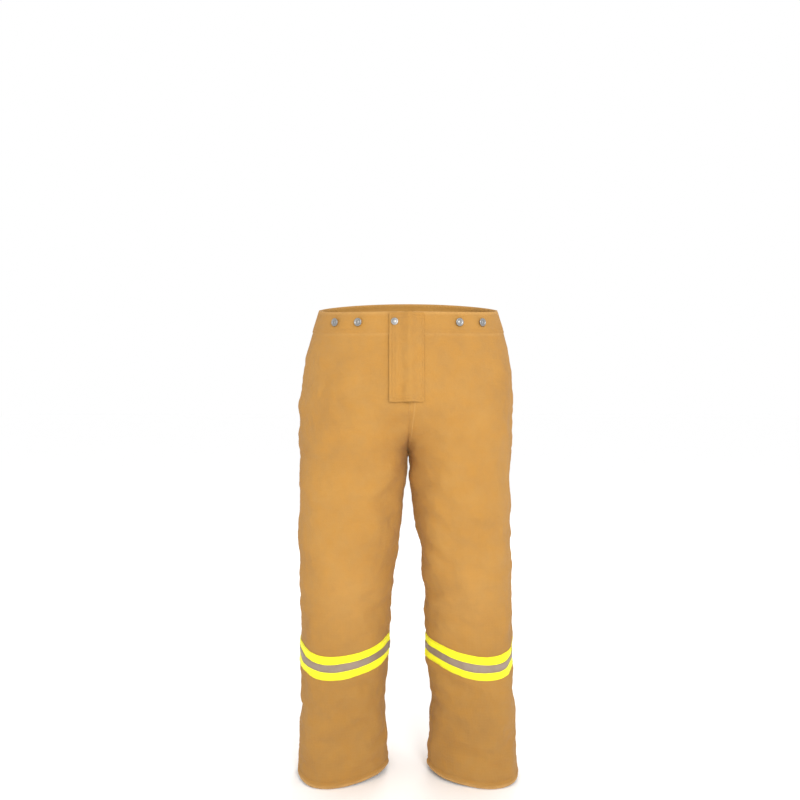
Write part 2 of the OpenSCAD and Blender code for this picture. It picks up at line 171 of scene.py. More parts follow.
CLOTH = dict(
    quality=7, mass=0.25, tension_stiffness=40, compression_stiffness=40, shear_stiffness=20,
    bending_model="ANGULAR", bending_stiffness=12, tension_damping=12, compression_damping=12,
    shear_damping=12, bending_damping=2, air_damping=3, pin_stiffness=1.0,
    use_pressure=True, uniform_pressure_force=0.6)


def drape(points, faces, flat, held):
    """Points after Blender's cloth has relaxed from them towards the lengths of flat. held is how
    firmly each point stays, from 0 to 1."""
    mesh = bpy.data.meshes.new("drape")
    mesh.from_pydata(points.tolist(), [], faces.tolist())
    obj = bpy.data.objects.new("drape", mesh)
    bpy.context.scene.collection.objects.link(obj)
    obj.shape_key_add(name="hung")
    key = obj.shape_key_add(name="flat")
    key.data.foreach_set("co", flat.astype(np.float32).ravel())
    group = obj.vertex_groups.new(name="held")
    for level in np.unique(np.round(held, 2)):
        group.add(np.nonzero(np.round(held, 2) == level)[0].tolist(), float(level), "REPLACE")
    mod = obj.modifiers.new("cloth", "CLOTH")
    for setting, value in CLOTH.items():
        setattr(mod.settings, setting, value)
    mod.settings.vertex_group_mass = "held"
    mod.settings.rest_shape_key = key
    mod.settings.effector_weights.gravity = 0.25
    mod.collision_settings.use_collision = False
    mod.collision_settings.use_self_collision = False
    scene = bpy.context.scene
    mod.point_cache.frame_start = 1
    mod.point_cache.frame_end = DRAPE_FRAMES
    for f in range(1, DRAPE_FRAMES + 1):
        scene.frame_set(f)
    done = obj.evaluated_get(bpy.context.evaluated_depsgraph_get())
    out = np.zeros(len(points) * 3, np.float32)
    done.data.vertices.foreach_get("co", out)
    bpy.data.objects.remove(obj)
    bpy.data.meshes.remove(mesh)
    scene.frame_set(1)
    return out.reshape(-1, 3).astype(float)


def waves(points, count, shortest, longest, stretch, seed):
    """A smooth random field of about unit size: a sum of plane waves. stretch scales the waves'
    frequencies along X, Y and Z."""
    rng = np.random.default_rng(seed)
    total = np.zeros(points.shape[:-1])
    for _ in range(count):
        direction = rng.normal(size=3)
        direction /= np.linalg.norm(direction)
        length = math.exp(rng.uniform(math.log(shortest), math.log(longest)))
        k = 2 * math.pi / length * direction * stretch
        total += np.cos(points @ k + rng.uniform(0, 2 * math.pi))
    return total * math.sqrt(2 / count)


COARSE_STEP = 0.012
COARSE_COLUMNS = 64
DRAPE_FRAMES = 26
SPARE_LENGTH = 0.030
DRAPE_LIMIT = 0.011


def drape_offsets():
    """How far draping moves the cloth: a grid of offsets for each side, its heights and shares."""
    heights = row_heights(COARSE_STEP)
    shares = np.linspace(0, 1, COARSE_COLUMNS + 1)
    half = cloth(heights[:, None], shares[None, :])
    both = np.stack([half, mirror(half, RIGHT)])
    merged, back = np.unique(np.round(both.reshape(-1, 3), 5), axis=0, return_inverse=True)
    back = back.reshape(both.shape[:-1])
    quads = []
    for side in (0, 1):
        b = back[side]
        q = np.stack([b[:-1, :-1], b[1:, :-1], b[1:, 1:], b[:-1, 1:]], -1).reshape(-1, 4)
        quads.append(q if side == 0 else q[:, ::-1])
    quads = np.concatenate(quads)
    quads = quads[[len(set(q)) == 4 for q in quads.tolist()]]
    z = merged[:, 2]
    spare = SPARE_LENGTH * ease((-0.06 - z) / 0.1)
    flat = merged.copy()
    flat[:, 2] *= 1 + spare
    start = merged.copy()
    start[:, :2] += 0.0012 * ease((-0.05 - z) / 0.05)[:, None] * np.stack(
        [waves(merged, 60, 0.05, 0.14, (1, 1, 2.0), SEED + i) for i in (0, 1)], -1)
    fly = (np.abs(merged[:, 0]) < 0.055) & (merged[:, 1] < 0)
    held = np.maximum(ease((z + 0.11) / 0.06), ease((HEM_Z + 0.035 - z) / 0.02))
    held = np.maximum(held, np.where(fly, ease((z + 0.24) / 0.05), 0))
    held = np.maximum(held, 0.5 * bump_at(z - BAND_Z, 0.045))
    moved = drape(start, quads, flat, np.clip(held, 0, 1))
    shift = moved - merged
    size = np.linalg.norm(shift, axis=1, keepdims=True)
    shift *= np.minimum(1, DRAPE_LIMIT * np.tanh(size / DRAPE_LIMIT) / np.maximum(size, 1e-9))
    shift *= 1 - np.clip(held, 0, 1)[:, None] ** 2
    return heights, shares, shift[back]


def cubic_weights(s):
    """Catmull-Rom weights of four points, at a place s of the way from the second to the third."""
    return np.stack([
        ((2 - s) * s - 1) * s / 2, ((3 * s - 5) * s * s + 2) / 2,
        ((4 - 3 * s) * s + 1) * s / 2, (s - 1) * s * s / 2], -1)


def resample(grid, row_at, column_at):
    """A grid of values read smoothly at fractional rows and columns."""
    def along(values, at, axis):
        n = values.shape[axis]
        i = np.clip(np.floor(at).astype(int), 0, n - 2)
        w = cubic_weights(at - i)
        out = 0
        for k in range(4):
            j = np.clip(i + k - 1, 0, n - 1)
            shape = [1] * values.ndim
            shape[axis] = len(at)
            out = out + np.take(values, j, axis=axis) * w[:, k].reshape(shape)
        return out
    return along(along(grid, row_at, 0), column_at, 1)


# ---- the two outer shells

BAND_HALF = 0.025
BAND_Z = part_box("left_fluorescent_band")[0][2] + BAND_HALF
STRIPE_HALF = BAND_HALF / 3
FINE_STEP = 0.0042
FINE_COLUMNS = 184
FLY_EDGE_X = 0.009
FLY_SHARE = share_at(FLY_EDGE_X, SEAT_ROWS[0, 1])

SEAM_WIDTH = 0.0115
STITCH_INSET = 0.0023
NOMINAL_GIRTH = 0.68
SEAM_HEIGHT = 0.0011
HEM_STITCH = 0.012
# Heights of the waistband's lower rows of stitching above its lower edge
WAIST_ROWS = (0.0030, 0.0090)
CUFF_BULGE = 0.0013
CUFF_ROLL = 0.0022

# How far each leg's outer side lies inside the even oval, by height
SLIM = {
    LEFT: ([-1.003, -0.95, -0.85, -0.74, -0.62, -0.53, -0.40, -0.31, -0.20, -0.10],
           [0.012, 0.006, 0.006, 0.008, 0.010, 0.013, 0.018, 0.015, 0.010, 0.0]),
    RIGHT: ([-1.003, -0.95, -0.88, -0.80, -0.70], [0.008, 0.005, 0.002, 0.004, 0.0]),
}


def band_shift(t):
    """The bands are sewn on a little higher at the sides of the leg than at its front and back."""
    turn = np.cos(2 * math.pi * t)
    return -0.003 + (0.020 + 0.003 * turn) * turn ** 2


class Half:
    """One half of the shell as a fine grid of points, with the way to read places on it."""

    def __init__(self, side, heights, shares, offsets):
        self.side = side
        cuff = HEM_Z + HEM_STITCH * np.array([0, 0.12, 0.3, 0.5, 0.7, 0.88, 1, 1.14, 1.4])
        extras = [0.0, SPLIT_Z, FLY_BOTTOM_Z, KNEE_END_Z, CROTCH_Z, *cuff,
                  -WAISTBAND + 0.0008, -WAISTBAND - 0.0008, -WAISTBAND + WAIST_ROWS[0]]
        fine = with_extras(row_heights(FINE_STEP), extras, 0.0009)[::-1]
        self.z = fine
        offsets_of_seam = np.array([-0.0016, -0.0002, 0.0008, STITCH_INSET, SEAM_WIDTH / 2,
                                    SEAM_WIDTH - STITCH_INSET, SEAM_WIDTH - 0.0006,
                                    SEAM_WIDTH + 0.0006, SEAM_WIDTH + 0.0022]) / NOMINAL_GIRTH
        extras = [0.0, 0.5, 1.0, FLY_SHARE, *(0.5 + offsets_of_seam),
                  *offsets_of_seam[2:], *(1 - offsets_of_seam[2:])]
        t = with_extras(np.linspace(0, 1, FINE_COLUMNS + 1), extras, 0.0016)
        self.fly_column = int(np.argmin(np.abs(t - FLY_SHARE)))
        self.t = t
        base = cloth(fine[:, None], t[None, :])
        row_at = np.interp(-fine, -heights, np.arange(len(heights)))
        column_at = t * (len(shares) - 1)
        shift = resample(offsets, row_at, column_at)
        shift[..., 0] *= side
        self.base = base + shift
        self.around = arc(self.base, 1)
        self.down = arc(self.base, 0)
        self.girth = self.around[:, -1:]
        self.normal = normals(self.base)
        self.points = self.base + self.normal * self.detail()[..., None]

    def detail(self):
        """How far the cloth stands out from its draped surface."""
        z = self.z[:, None] + 0 * self.t
        free = ease((-0.05 - z) / 0.06)
        out = self.uneven(z, free)
        for crease in CREASES[self.side]:
            out -= crease_depth(z, self.t[None, :], self.around, self.girth, *crease)
        self.add_seams(out, z, free)
        # The turned cuff is full between its row of stitching and its lower edge
        up = z - HEM_Z
        wobble = 1 + 0.35 * np.sin(self.around / 0.021) + 0.3 * np.sin(self.around / 0.0083 + 1)
        full = np.sqrt(np.clip(1 - ((up - HEM_STITCH / 2) / (HEM_STITCH / 2)) ** 2, 0, 1))
        out += CUFF_BULGE * full * wobble
        out -= 0.0009 * bump_at(up - HEM_STITCH, 0.004)
        # The bands are sewn down tight, so the cloth swells a little above and below them
        beside = np.abs(z - BAND_Z - band_shift(self.t)) - BAND_HALF
        out += 0.0010 * bump_at(beside - 0.012, 0.011) * (0.6 + 0.4 * np.sin(self.around / 0.017))
        out -= 0.0006 * bump_at(beside, 0.004)
        # The waistband is a layer of its own, sewn down along its lower edge
        out += 0.0014 * ease((z + WAISTBAND + 0.0008) / 0.0016)
        out -= 0.0003 * bump_at(z + WAISTBAND - WAIST_ROWS[0], 0.0018)
        return out

    def uneven(self, z, free):
        """Soft lumps and fine unevenness, and the slimmer outer side of the leg."""
        p = mirror(self.base, self.side)
        lumps = 0.0013 * waves(p, 70, 0.055, 0.16, (1, 1, 1.3), SEED + 5)
        fine = 0.00022 * waves(p, 60, 0.012, 0.030, (1, 1, 1.2), SEED + 9)
        # The cloth lies flat under the storm flap
        flat = (1 - ease((np.abs(p[..., 0]) - 0.045) / 0.03)) * (p[..., 1] < 0)
        flat *= ease((z + 0.215) / 0.02)
        out = free * lumps * (1 - flat) + (0.35 + 0.65 * free) * fine
        heights, inward = SLIM[self.side]
        knots = np.linspace(-1.01, 0, 203)
        inward = np.pad(np.interp(knots, heights, inward), 6, "edge")
        even = np.convolve(inward, np.ones(13) / 13, "valid")
        return out - np.interp(z, knots, even) * np.exp(-((self.t - 0.47) / 0.13) ** 2)

    def add_seams(self, out, z, free):
        """Felled seams: a flat ridge behind the seam line, drawn in along its stitching."""
        below = z < CROTCH_Z + 0.002
        left = self.side == LEFT
        t = self.t + 0 * z
        pucker = np.cos(2 * math.pi * self.down / 0.021 + 1.9 * np.sin(self.down * 37))
        seams = ((t - 0.5, 1), (t, below | (left & (z < FLY_BOTTOM_Z))), (1 - t, ~below & left))
        for share, there in seams:
            edge = share * NOMINAL_GIRTH
            ridge = ease((edge + 0.0002) / 0.0010) * ease((SEAM_WIDTH + 0.0006 - edge) / 0.0012)
            sunk = bump_at(edge - STITCH_INSET, 0.0018)
            sunk = sunk + bump_at(edge - SEAM_WIDTH + STITCH_INSET, 0.0018)
            out += (SEAM_HEIGHT * ridge - 0.0003 * sunk) * there
            out += 0.00032 * pucker * bump_at(edge - SEAM_WIDTH / 2, 0.020) * free * there

    def at(self, z, t, lift=0.0):
        """Points and normals of the surface at heights z and shares t, lifted off it."""
        r = np.interp(-np.asarray(z, float), -self.z, np.arange(len(self.z)))
        c = np.interp(np.asarray(t, float), self.t, np.arange(len(self.t)))
        r, c = np.broadcast_arrays(r, c)
        i = np.clip(r.astype(int), 0, len(self.z) - 2)
        j = np.clip(c.astype(int), 0, len(self.t) - 2)
        u, v = (r - i)[..., None], (c - j)[..., None]

        def read(g):
            return ((g[i, j] * (1 - v) + g[i, j + 1] * v) * (1 - u)
                    + (g[i + 1, j] * (1 - v) + g[i + 1, j + 1] * v) * u)
        n = read(self.normal)
        n /= np.linalg.norm(n, axis=-1, keepdims=True)
        return read(self.points) + n * np.asarray(lift)[..., None], n


def join_centre(halves):
    """Above the crotch the two halves meet on one line in the middle, in front and behind."""
    rows = halves[0].z > CROTCH_Z - 0.0005
    for column in (0, -1):
        edges = [half.points[rows, column] for half in halves]
        middle = (edges[0] + edges[1]) / 2 * [0, 1, 1]
        for half, edge in zip(halves, edges):
            away = np.abs(half.around[rows] - half.around[rows, column][:, None])
            near = (1 - ease(away / 0.025))[..., None]
            half.points[rows] += (middle - edge)[:, None] * near


def arc(points, axis):
    """Distance along one axis of a grid of points."""
    step = np.linalg.norm(np.diff(points, axis=axis), axis=-1)
    zero = np.zeros_like(np.take(step, [0], axis=axis))
    return np.cumsum(np.concatenate([zero, step], axis=axis), axis=axis)


def normals(points):
    """Outward normals of a grid whose rows go down and whose columns go round from the front."""
    down = np.gradient(points, axis=0)
    across = np.gradient(points, axis=1)
    n = np.cross(down, across)
    return n / np.maximum(np.linalg.norm(n, axis=-1, keepdims=True), 1e-12)


def crease_depth(z, t, around, girth, z0, t0, z1, t1, width, depth):
    """A soft valley between two places (height, share), with a fuller fold on its upper side."""
    x = around - t0 * girth
    end_x = (t1 - t0) * girth
    y = z - z0
    end_y = z1 - z0
    length2 = end_x ** 2 + end_y ** 2
    s = np.clip((x * end_x + y * end_y) / length2, -0.2, 1.2)
    bow = 0.012 * np.sin(math.pi * np.clip(s, 0, 1))
    across = (x * end_y - y * end_x) / np.sqrt(length2) + bow
    ends = ease(s / 0.3 + 0.4) * ease((1 - s) / 0.35 + 0.3)
    valley = np.exp(-(across / width) ** 2)
    fold = 0.75 * np.exp(-((across + 1.9 * width) / (1.5 * width)) ** 2)
    return depth * ends * (valley - fold)


# Height and share of each end, then width and depth
CREASES = {
    LEFT: [
        (-0.345, 0.07, -0.430, 0.20, 0.0130, 0.0017),
        (-0.400, 0.06, -0.500, 0.21, 0.0150, 0.0020),
        (-0.470, 0.05, -0.565, 0.19, 0.0130, 0.0017),
        (-0.650, 0.06, -0.615, 0.18, 0.0110, 0.0014),
        (-0.600, 0.41, -0.635, 0.31, 0.0120, 0.0018),
        (-0.880, 0.08, -0.905, 0.22, 0.0120, 0.0012),
        (-0.930, 0.42, -0.905, 0.30, 0.0120, 0.0014),
        (-0.560, 0.62, -0.600, 0.84, 0.0110, 0.0036),
        (-0.600, 0.66, -0.632, 0.90, 0.0110, 0.0036),
        (-0.640, 0.60, -0.655, 0.80, 0.0115, 0.0026),
        (-0.330, 0.70, -0.300, 0.93, 0.0140, 0.0030),
        (-0.372, 0.74, -0.345, 0.95, 0.0130, 0.0026),
        (-0.215, 0.08, -0.285, 0.20, 0.0130, 0.0020),
    ],
    RIGHT: [
        (-0.350, 0.06, -0.415, 0.17, 0.0130, 0.0015),
        (-0.480, 0.04, -0.520, 0.14, 0.0120, 0.0013),
        (-0.590, 0.05, -0.615, 0.20, 0.0125, 0.0016),
        (-0.655, 0.07, -0.632, 0.19, 0.0115, 0.0013),
        (-0.655, 0.46, -0.625, 0.35, 0.0110, 0.0022),
        (-0.850, 0.06, -0.880, 0.19, 0.0120, 0.0012),
        (-0.950, 0.38, -0.925, 0.26, 0.0120, 0.0012),
        (-0.555, 0.64, -0.590, 0.86, 0.0110, 0.0034),
        (-0.598, 0.60, -0.636, 0.86, 0.0120, 0.0036),
        (-0.640, 0.68, -0.664, 0.88, 0.0115, 0.0024),
        (-0.325, 0.72, -0.296, 0.93, 0.0140, 0.0030),
        (-0.365, 0.76, -0.350, 0.94, 0.0120, 0.0022),
        (-0.220, 0.09, -0.280, 0.22, 0.0130, 0.0018),
    ],
}


# ---- mesh helpers

def new_object(name, vertices, faces, uvs=None, wear_and_quilt_shade=None):
    mesh = bpy.data.meshes.new(name)
    vertices = np.asarray(vertices, np.float32)
    faces = np.asarray(faces, np.int32)
    size = faces.shape[1]
    mesh.vertices.add(len(vertices))
    mesh.vertices.foreach_set("co", vertices.ravel())
    mesh.loops.add(faces.size)
    mesh.loops.foreach_set("vertex_index", faces.ravel())
    mesh.polygons.add(len(faces))
    mesh.polygons.foreach_set("loop_start", np.arange(0, faces.size, size, dtype=np.int32))
    mesh.update(calc_edges=True)
    if uvs is not None:
        layer = mesh.uv_layers.new(name="cloth")
        layer.data.foreach_set("uv", np.asarray(uvs, np.float32)[faces.ravel()].ravel())
    if wear_and_quilt_shade is not None:
        attribute = mesh.attributes.new("wear_and_quilt_shade", "FLOAT", "POINT")
        attribute.data.foreach_set("value", np.asarray(wear_and_quilt_shade, np.float32).ravel())
    mesh.polygons.foreach_set("use_smooth", np.ones(len(faces), bool))
    mesh.validate()
    obj = bpy.data.objects.new(name, mesh)
    bpy.context.scene.collection.objects.link(obj)
    return obj


def grid_faces(rows, columns, flip=False, keep=None, wrap=False):
    """Quads of a grid. keep is a mask of its cells."""
    index = np.arange(rows * columns).reshape(rows, columns)
    if wrap:
        index = np.concatenate([index, index[:, :1]], 1)
    q = np.stack([index[:-1, :-1], index[1:, :-1], index[1:, 1:], index[:-1, 1:]], -1)
    q = q.reshape(-1, 4) if keep is None else q[keep]
    return q[:, ::-1] if flip else q


def grid_object(name, points, side=LEFT, keep=None, wear_and_quilt_shade=None, thick=0.0, uv=None):
    """A sheet from a grid of points on the left half, mirrored to its side. Its texture
    coordinates are metres along the cloth. thick adds a back and rounded edges."""
    rows, columns = points.shape[:2]
    faces = grid_faces(rows, columns, flip=side == RIGHT, keep=keep)
    if uv is None:
        uv = np.stack([arc(points, 1), -arc(points, 0)], -1)
    obj = new_object(name, mirror(points, side).reshape(-1, 3), faces, uv.reshape(-1, 2), wear_and_quilt_shade)
    if keep is not None:
        clean(obj)
    if thick:
        solid = obj.modifiers.new("thickness", "SOLIDIFY")
        solid.thickness = thick
        solid.offset = -1
        solid.use_even_offset = False
        round_edges(obj, thick * 0.32)
    return obj


def round_edges(obj, width):
    edge = obj.modifiers.new("edges", "BEVEL")
    edge.width = width
    edge.segments = 2
    edge.limit_method = "ANGLE"
    edge.angle_limit = math.radians(50)


def clean(obj):
    """Joins vertices that coincide and drops the loose ones."""
    bm = bmesh.new()
    bm.from_mesh(obj.data)
    bmesh.ops.remove_doubles(bm, verts=bm.verts, dist=1e-5)
    bmesh.ops.delete(bm, geom=[v for v in bm.verts if not v.link_faces], context="VERTS")
    bm.to_mesh(obj.data)
    bm.free()


def join_grids(name, grids, side=LEFT):
    """One object from several (points, faces) sets of the left half."""
    points, faces, start = [], [], 0
    for p, f in grids:
        points.append(p)
        faces.append(f + start)
        start += len(p)
    faces = np.concatenate(faces)
    return new_object(name, mirror(np.concatenate(points), side),
                      faces[:, ::-1] if side == RIGHT else faces)


# ---- materials

class Shader:
    """A short way to write a material's nodes."""

    def __init__(self, name):
        self.material = bpy.data.materials.new(name)
        self.material.use_nodes = True
        self.tree = self.material.node_tree
        self.bsdf = self.tree.nodes["Principled BSDF"]

    def node(self, kind, links=None, **values):
        n = self.tree.nodes.new("ShaderNode" + kind)
        for key, value in values.items():
            if hasattr(n, key):
                setattr(n, key, value)
            else:
                n.inputs[key.replace("_", " ")].default_value = value
        for key, source in (links or {}).items():
            self.tree.links.new(source, n.inputs[key])
        return n

    def math(self, operation, a, b=0.0, clamp=False):
        n = self.tree.nodes.new("ShaderNodeMath")
        n.operation = operation
        n.use_clamp = clamp
        for i, x in enumerate((a, b)):
            if isinstance(x, (int, float)):
                n.inputs[i].default_value = x
            else:
                self.tree.links.new(x, n.inputs[i])
        return n.outputs[0]

    def add(self, a, b):
        return self.math("ADD", a, b)

    def sub(self, a, b, clamp=False):
        return self.math("SUBTRACT", a, b, clamp)

    def mul(self, a, b, clamp=False):
        return self.math("MULTIPLY", a, b, clamp)

    def mix(self, factor, a, b, blend="MIX"):
        n = self.tree.nodes.new("ShaderNodeMix")
        n.data_type = "RGBA"
        n.blend_type = blend
        for i, x in ((0, factor), (6, a), (7, b)):
            if isinstance(x, (int, float)):
                n.inputs[i].default_value = x
            elif isinstance(x, tuple):
                n.inputs[i].default_value = (*x, 1)
            else:
                self.tree.links.new(x, n.inputs[i])
        return n.outputs[2]

    def noise(self, vector, scale, detail=3.0, roughness=0.5):
        n = self.node("TexNoise", {"Vector": vector}, Scale=scale, Detail=detail,
                      Roughness=roughness)
        return n.outputs[0]

    def set(self, name, value):
        self.bsdf.inputs[name].default_value = value

    def link(self, source, socket):
        self.tree.links.new(source, self.bsdf.inputs[socket])

    def weave_places(self):
        """Metres along the cloth in its two directions, and the place in space."""
        uv = self.node("UVMap", uv_map="cloth").outputs[0]
        split = self.node("SeparateXYZ", {"Vector": uv})
        return split.outputs[0], split.outputs[1], self.node("TexCoord").outputs["Object"]

    def bump(self, height, distance, strength=1.0, previous=None):
        links = {"Height": height}
        if previous is not None:
            links["Normal"] = previous
        n = self.node("Bump", links, Strength=strength, Distance=distance)
        return n.outputs[0]


def srgb(r, g, b):
    return tuple(((c / 255 + 0.055) / 1.055) ** 2.4 if c > 10 else c / 255 / 12.92
                 for c in (r, g, b))


def threads(s, u, v, pitch_u, pitch_v):
    """The height of a plain weave whose threads lie across each other."""
    a = s.mul(u, math.pi / pitch_u)
    b = s.mul(v, math.pi / pitch_v)
    warp = s.math("ABSOLUTE", s.math("SINE", a))
    weft = s.math("ABSOLUTE", s.math("SINE", b))
    over = s.math("SINE", s.add(a, b))
    side = s.math("GREATER_THAN", over, 0.0)
    return s.add(s.mul(warp, side), s.mul(weft, s.sub(1.0, side)))


def grid_lines(s, u, v, pitch, width):
    """1 on the thicker threads of a rip-stop grid."""
    def lines(x):
        near = s.math("PINGPONG", x, pitch / 2)
        return s.math("LESS_THAN", near, width / 2)
    return s.math("MAXIMUM", lines(u), lines(v))


def cloth_material(name, light, dark, warm, weave=0.0009, ripstop=0.0065, sheen=0.06,
                   worn_and_lit_colour=None, bump=1.0):
    """Woven cloth of three mixed tones. weave and ripstop are pitches of threads; a mesh attribute
    brings in a lighter colour: real wear on the shell, and on the quilted liner painted light on
    the puffs, with painted shade along the quilting lines."""
    s = Shader(name)
    u, v, place = s.weave_places()
    blotch = s.noise(place, 9.0, 4.0, 0.55)
    patch = s.noise(place, 34.0, 4.0, 0.6)
    fine = s.noise(place, 900.0, 2.0)
    weave_height = threads(s, u, v, weave, weave)
    colour = s.mix(s.sub(s.mul(blotch, 2.2), 0.6, True), dark, light)
    colour = s.mix(s.sub(s.mul(patch, 1.6), 0.55, True), colour, warm)
    shade = s.add(0.90, s.mul(weave_height, 0.12))
    shade = s.add(shade, s.mul(s.sub(fine, 0.5), 0.16))
    # Painted shade: the lower legs are darkened, as if less lit from above
    height_up = s.node("SeparateXYZ", {"Vector": place}).outputs[2]
    lower_leg_shade = s.mul(s.sub(-0.52, height_up), 3.5, True)
    shade = s.mul(shade, s.sub(1.0, s.mul(lower_leg_shade, 0.13)))
    grey = s.node("CombineColor", {"Red": shade, "Green": shade, "Blue": shade}).outputs[0]
    colour = s.mix(1.0, colour, grey, "MULTIPLY")
    rips = None
    if ripstop:
        rips = grid_lines(s, u, v, ripstop, ripstop * 0.14)
        colour = s.mix(s.mul(rips, 0.10), colour, light)
    # The lighter colour is real wear on the shell's rubbed edges; on the liner it is a painted
    # highlight on the quilting's puffs, leaving its lines in painted shade
    if worn_and_lit_colour:
        wear_and_quilt_shade = s.node("Attribute", attribute_name="wear_and_quilt_shade").outputs["Fac"]
        worn_and_lit = s.mul(wear_and_quilt_shade, s.mul(patch, 1.3), True)
        colour = s.mix(worn_and_lit, colour, worn_and_lit_colour)
    s.link(colour, "Base Color")
    height = s.add(weave_height, s.mul(fine, 0.6))
    if rips is not None:
        height = s.add(height, s.mul(rips, 0.9))
    soft = s.bump(s.noise(place, 110.0, 4.0), 0.0016, 0.35 * bump)
    s.link(s.bump(height, 0.00022, 0.8 * bump, soft), "Normal")
    s.link(s.add(0.79, s.mul(patch, 0.12)), "Roughness")
    s.set("Sheen Weight", sheen)
    s.set("Sheen Roughness", 0.5)
    s.set("Specular IOR Level", 0.12)
    return s.material


def metal_material(name, colour, dark, rough):
    s = Shader(name)
    place = s.node("TexCoord").outputs["Object"]
    spots = s.noise(place, 260.0, 5.0, 0.6)
    s.link(s.mix(s.mul(spots, 0.7), colour, dark), "Base Color")
    s.set("Metallic", 1.0)
    s.link(s.add(rough - 0.1, s.mul(spots, 0.3)), "Roughness")
    s.link(s.bump(s.noise(place, 1800.0, 3.0), 0.00005, 0.5), "Normal")
    return s.material


def tape_material(name, colour, dark, rough, pitch, glass=False):
    """A woven tape; a glass-bead one is smoother, with fine diamonds pressed into it."""
    s = Shader(name)
    u, v, place = s.weave_places()
    scuff = s.noise(place, 42.0, 5.0, 0.65)
    height = threads(s, u, v, pitch, pitch)
    s.link(s.mix(s.mul(s.sub(scuff, 0.42, True), 1.5), colour, dark), "Base Color")
    s.link(s.bump(height, 0.00012 if glass else 0.0002, 0.7), "Normal")
    s.link(s.add(rough, s.mul(scuff, 0.15)), "Roughness")
    if glass:
        s.set("Metallic", 0.35)
        s.set("Specular IOR Level", 0.6)
    else:
        s.set("Sheen Weight", 0.05)
    return s.material


def make_materials():
    tan = dict(light=srgb(187, 140, 74), dark=srgb(171, 126, 67), warm=srgb(186, 133, 60))
    return {
        "shell": cloth_material("shell_cloth", **tan, worn_and_lit_colour=srgb(222, 178, 116)),
        "trim": cloth_material("trim_cloth", **tan, ripstop=0, worn_and_lit_colour=srgb(222, 178, 116)),
        "thread": cloth_material("thread", srgb(202, 156, 94), srgb(176, 128, 66),
                                 srgb(188, 138, 72), weave=0.0004, ripstop=0, bump=0.5),
        # The liner's lighter colour is painted light on the quilting's puffs
        "liner": cloth_material("quilted_liner", srgb(72, 70, 68), srgb(46, 45, 46),
                                srgb(60, 56, 52), weave=0.0008, ripstop=0, sheen=0.3,
                                worn_and_lit_colour=srgb(112, 108, 104)),
        "yellow": tape_material("fluorescent_tape", srgb(252, 248, 22), srgb(240, 236, 14),
                                0.6, 0.0009),
        "silver": tape_material("reflective_tape", srgb(152, 135, 119), srgb(128, 111, 95),
                                0.42, 0.0012, glass=True),
        "hook": cloth_material("hook_and_loop", srgb(120, 92, 60), srgb(92, 70, 45),
                               srgb(104, 78, 50), weave=0.0015, ripstop=0, sheen=0.6, bump=2.0),
        "zip_tape": cloth_material("zip_tape", srgb(128, 96, 60), srgb(104, 78, 48),
                                   srgb(116, 84, 50), weave=0.0008, ripstop=0),
        "webbing": cloth_material("webbing", srgb(196, 148, 92), srgb(172, 126, 74),
                                  srgb(184, 134, 78), weave=0.0022, ripstop=0, bump=2.0),
        "brass": metal_material("brass", srgb(196, 160, 96), srgb(150, 112, 58), 0.36),
        "steel": metal_material("nickelled_steel", srgb(168, 167, 164), srgb(112, 111, 112), 0.38),
    }


def finish_piece(obj, material, body=None, *nodes):
    """Gives a piece its material, the body it rides on, and the CAD nodes it stands for."""
    obj.data.materials.clear()
    obj.data.materials.append(MATERIALS[material])
    if body:
        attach(obj, body)
    if nodes:
        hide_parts(*nodes)


# ---- fixing the pieces' placement


def bend_upper(obj, name, side):
    """Bakes the piece's placement into its mesh; it does not bend."""
    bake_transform(obj)


def bend_lower(obj, name, side):
    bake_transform(obj)


# ---- pieces of the shell

WAIST_ROLL = 0.0016
ROLL_INSIDE = 0.004


def roll_in(points, normal, radius, turns, down):
    """Rows that carry an edge round a small roll and back inside it. down is -1 at a lower edge
    and 1 at an upper edge."""
    n = normal * [1, 1, 0]
    n /= np.linalg.norm(n, axis=-1, keepdims=True)
    up = np.array([0, 0, down])
    rows = [points - n * radius + n * radius * math.cos(a) + up * radius * math.sin(a)
            for a in np.linspace(0, math.pi, turns + 1)[1:]]
    return np.stack(rows + [rows[-1] - up * ROLL_INSIDE])


def make_shell(half, name):
    """Front and back panels, above and below the split over the knee."""
    side_column = int(np.argmin(np.abs(half.t - 0.5)))
    split_row = int(np.argmin(np.abs(half.z - SPLIT_Z)))
    fly_row = int(np.argmin(np.abs(half.z - FLY_BOTTOM_Z)))
    from_seam = half.around - half.around[:, side_column:side_column + 1]
    grids = (half.points, half.normal, wear_mask(half), from_seam)
    for level in ("upper", "lower"):
        upper = level == "upper"
        rows = slice(0, split_row + 1) if upper else slice(split_row, None)
        for face in ("front", "back"):
            columns = slice(0, side_column + 1) if face == "front" else slice(side_column, None)
            p, n, w, u = (grid[rows, columns] for grid in grids)
            if upper:
                turned = roll_in(p[0], n[0], WAIST_ROLL, 5, 1)[::-1]
                p = np.concatenate([turned, p])
                w, u = (np.concatenate([g[:1].repeat(len(turned), 0), g]) for g in (w, u))
            else:
                turned = roll_in(p[-1], n[-1], CUFF_ROLL, 6, -1)
                p = np.concatenate([p, turned])
                w, u = (np.concatenate([g, g[-1:].repeat(len(turned), 0)]) for g in (w, u))
            keep = None
            if upper and face == "front":
                keep = np.ones((p.shape[0] - 1, p.shape[1] - 1), bool)
                keep[:fly_row + len(turned), :half.fly_column] = False
            obj = grid_object(f"{name}_{level}_{face}_shell", p, half.side, keep, w,
                              uv=np.stack([u, p[..., 2]], -1))
            finish_piece(obj, "shell")
            (bend_upper if upper else bend_lower)(obj, name, half.side)
            parts = ("hip", "groin", "thigh") if upper else ("knee", "shin")
            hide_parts(*(f"{name}_{part}_{face}_panel" for part in parts))


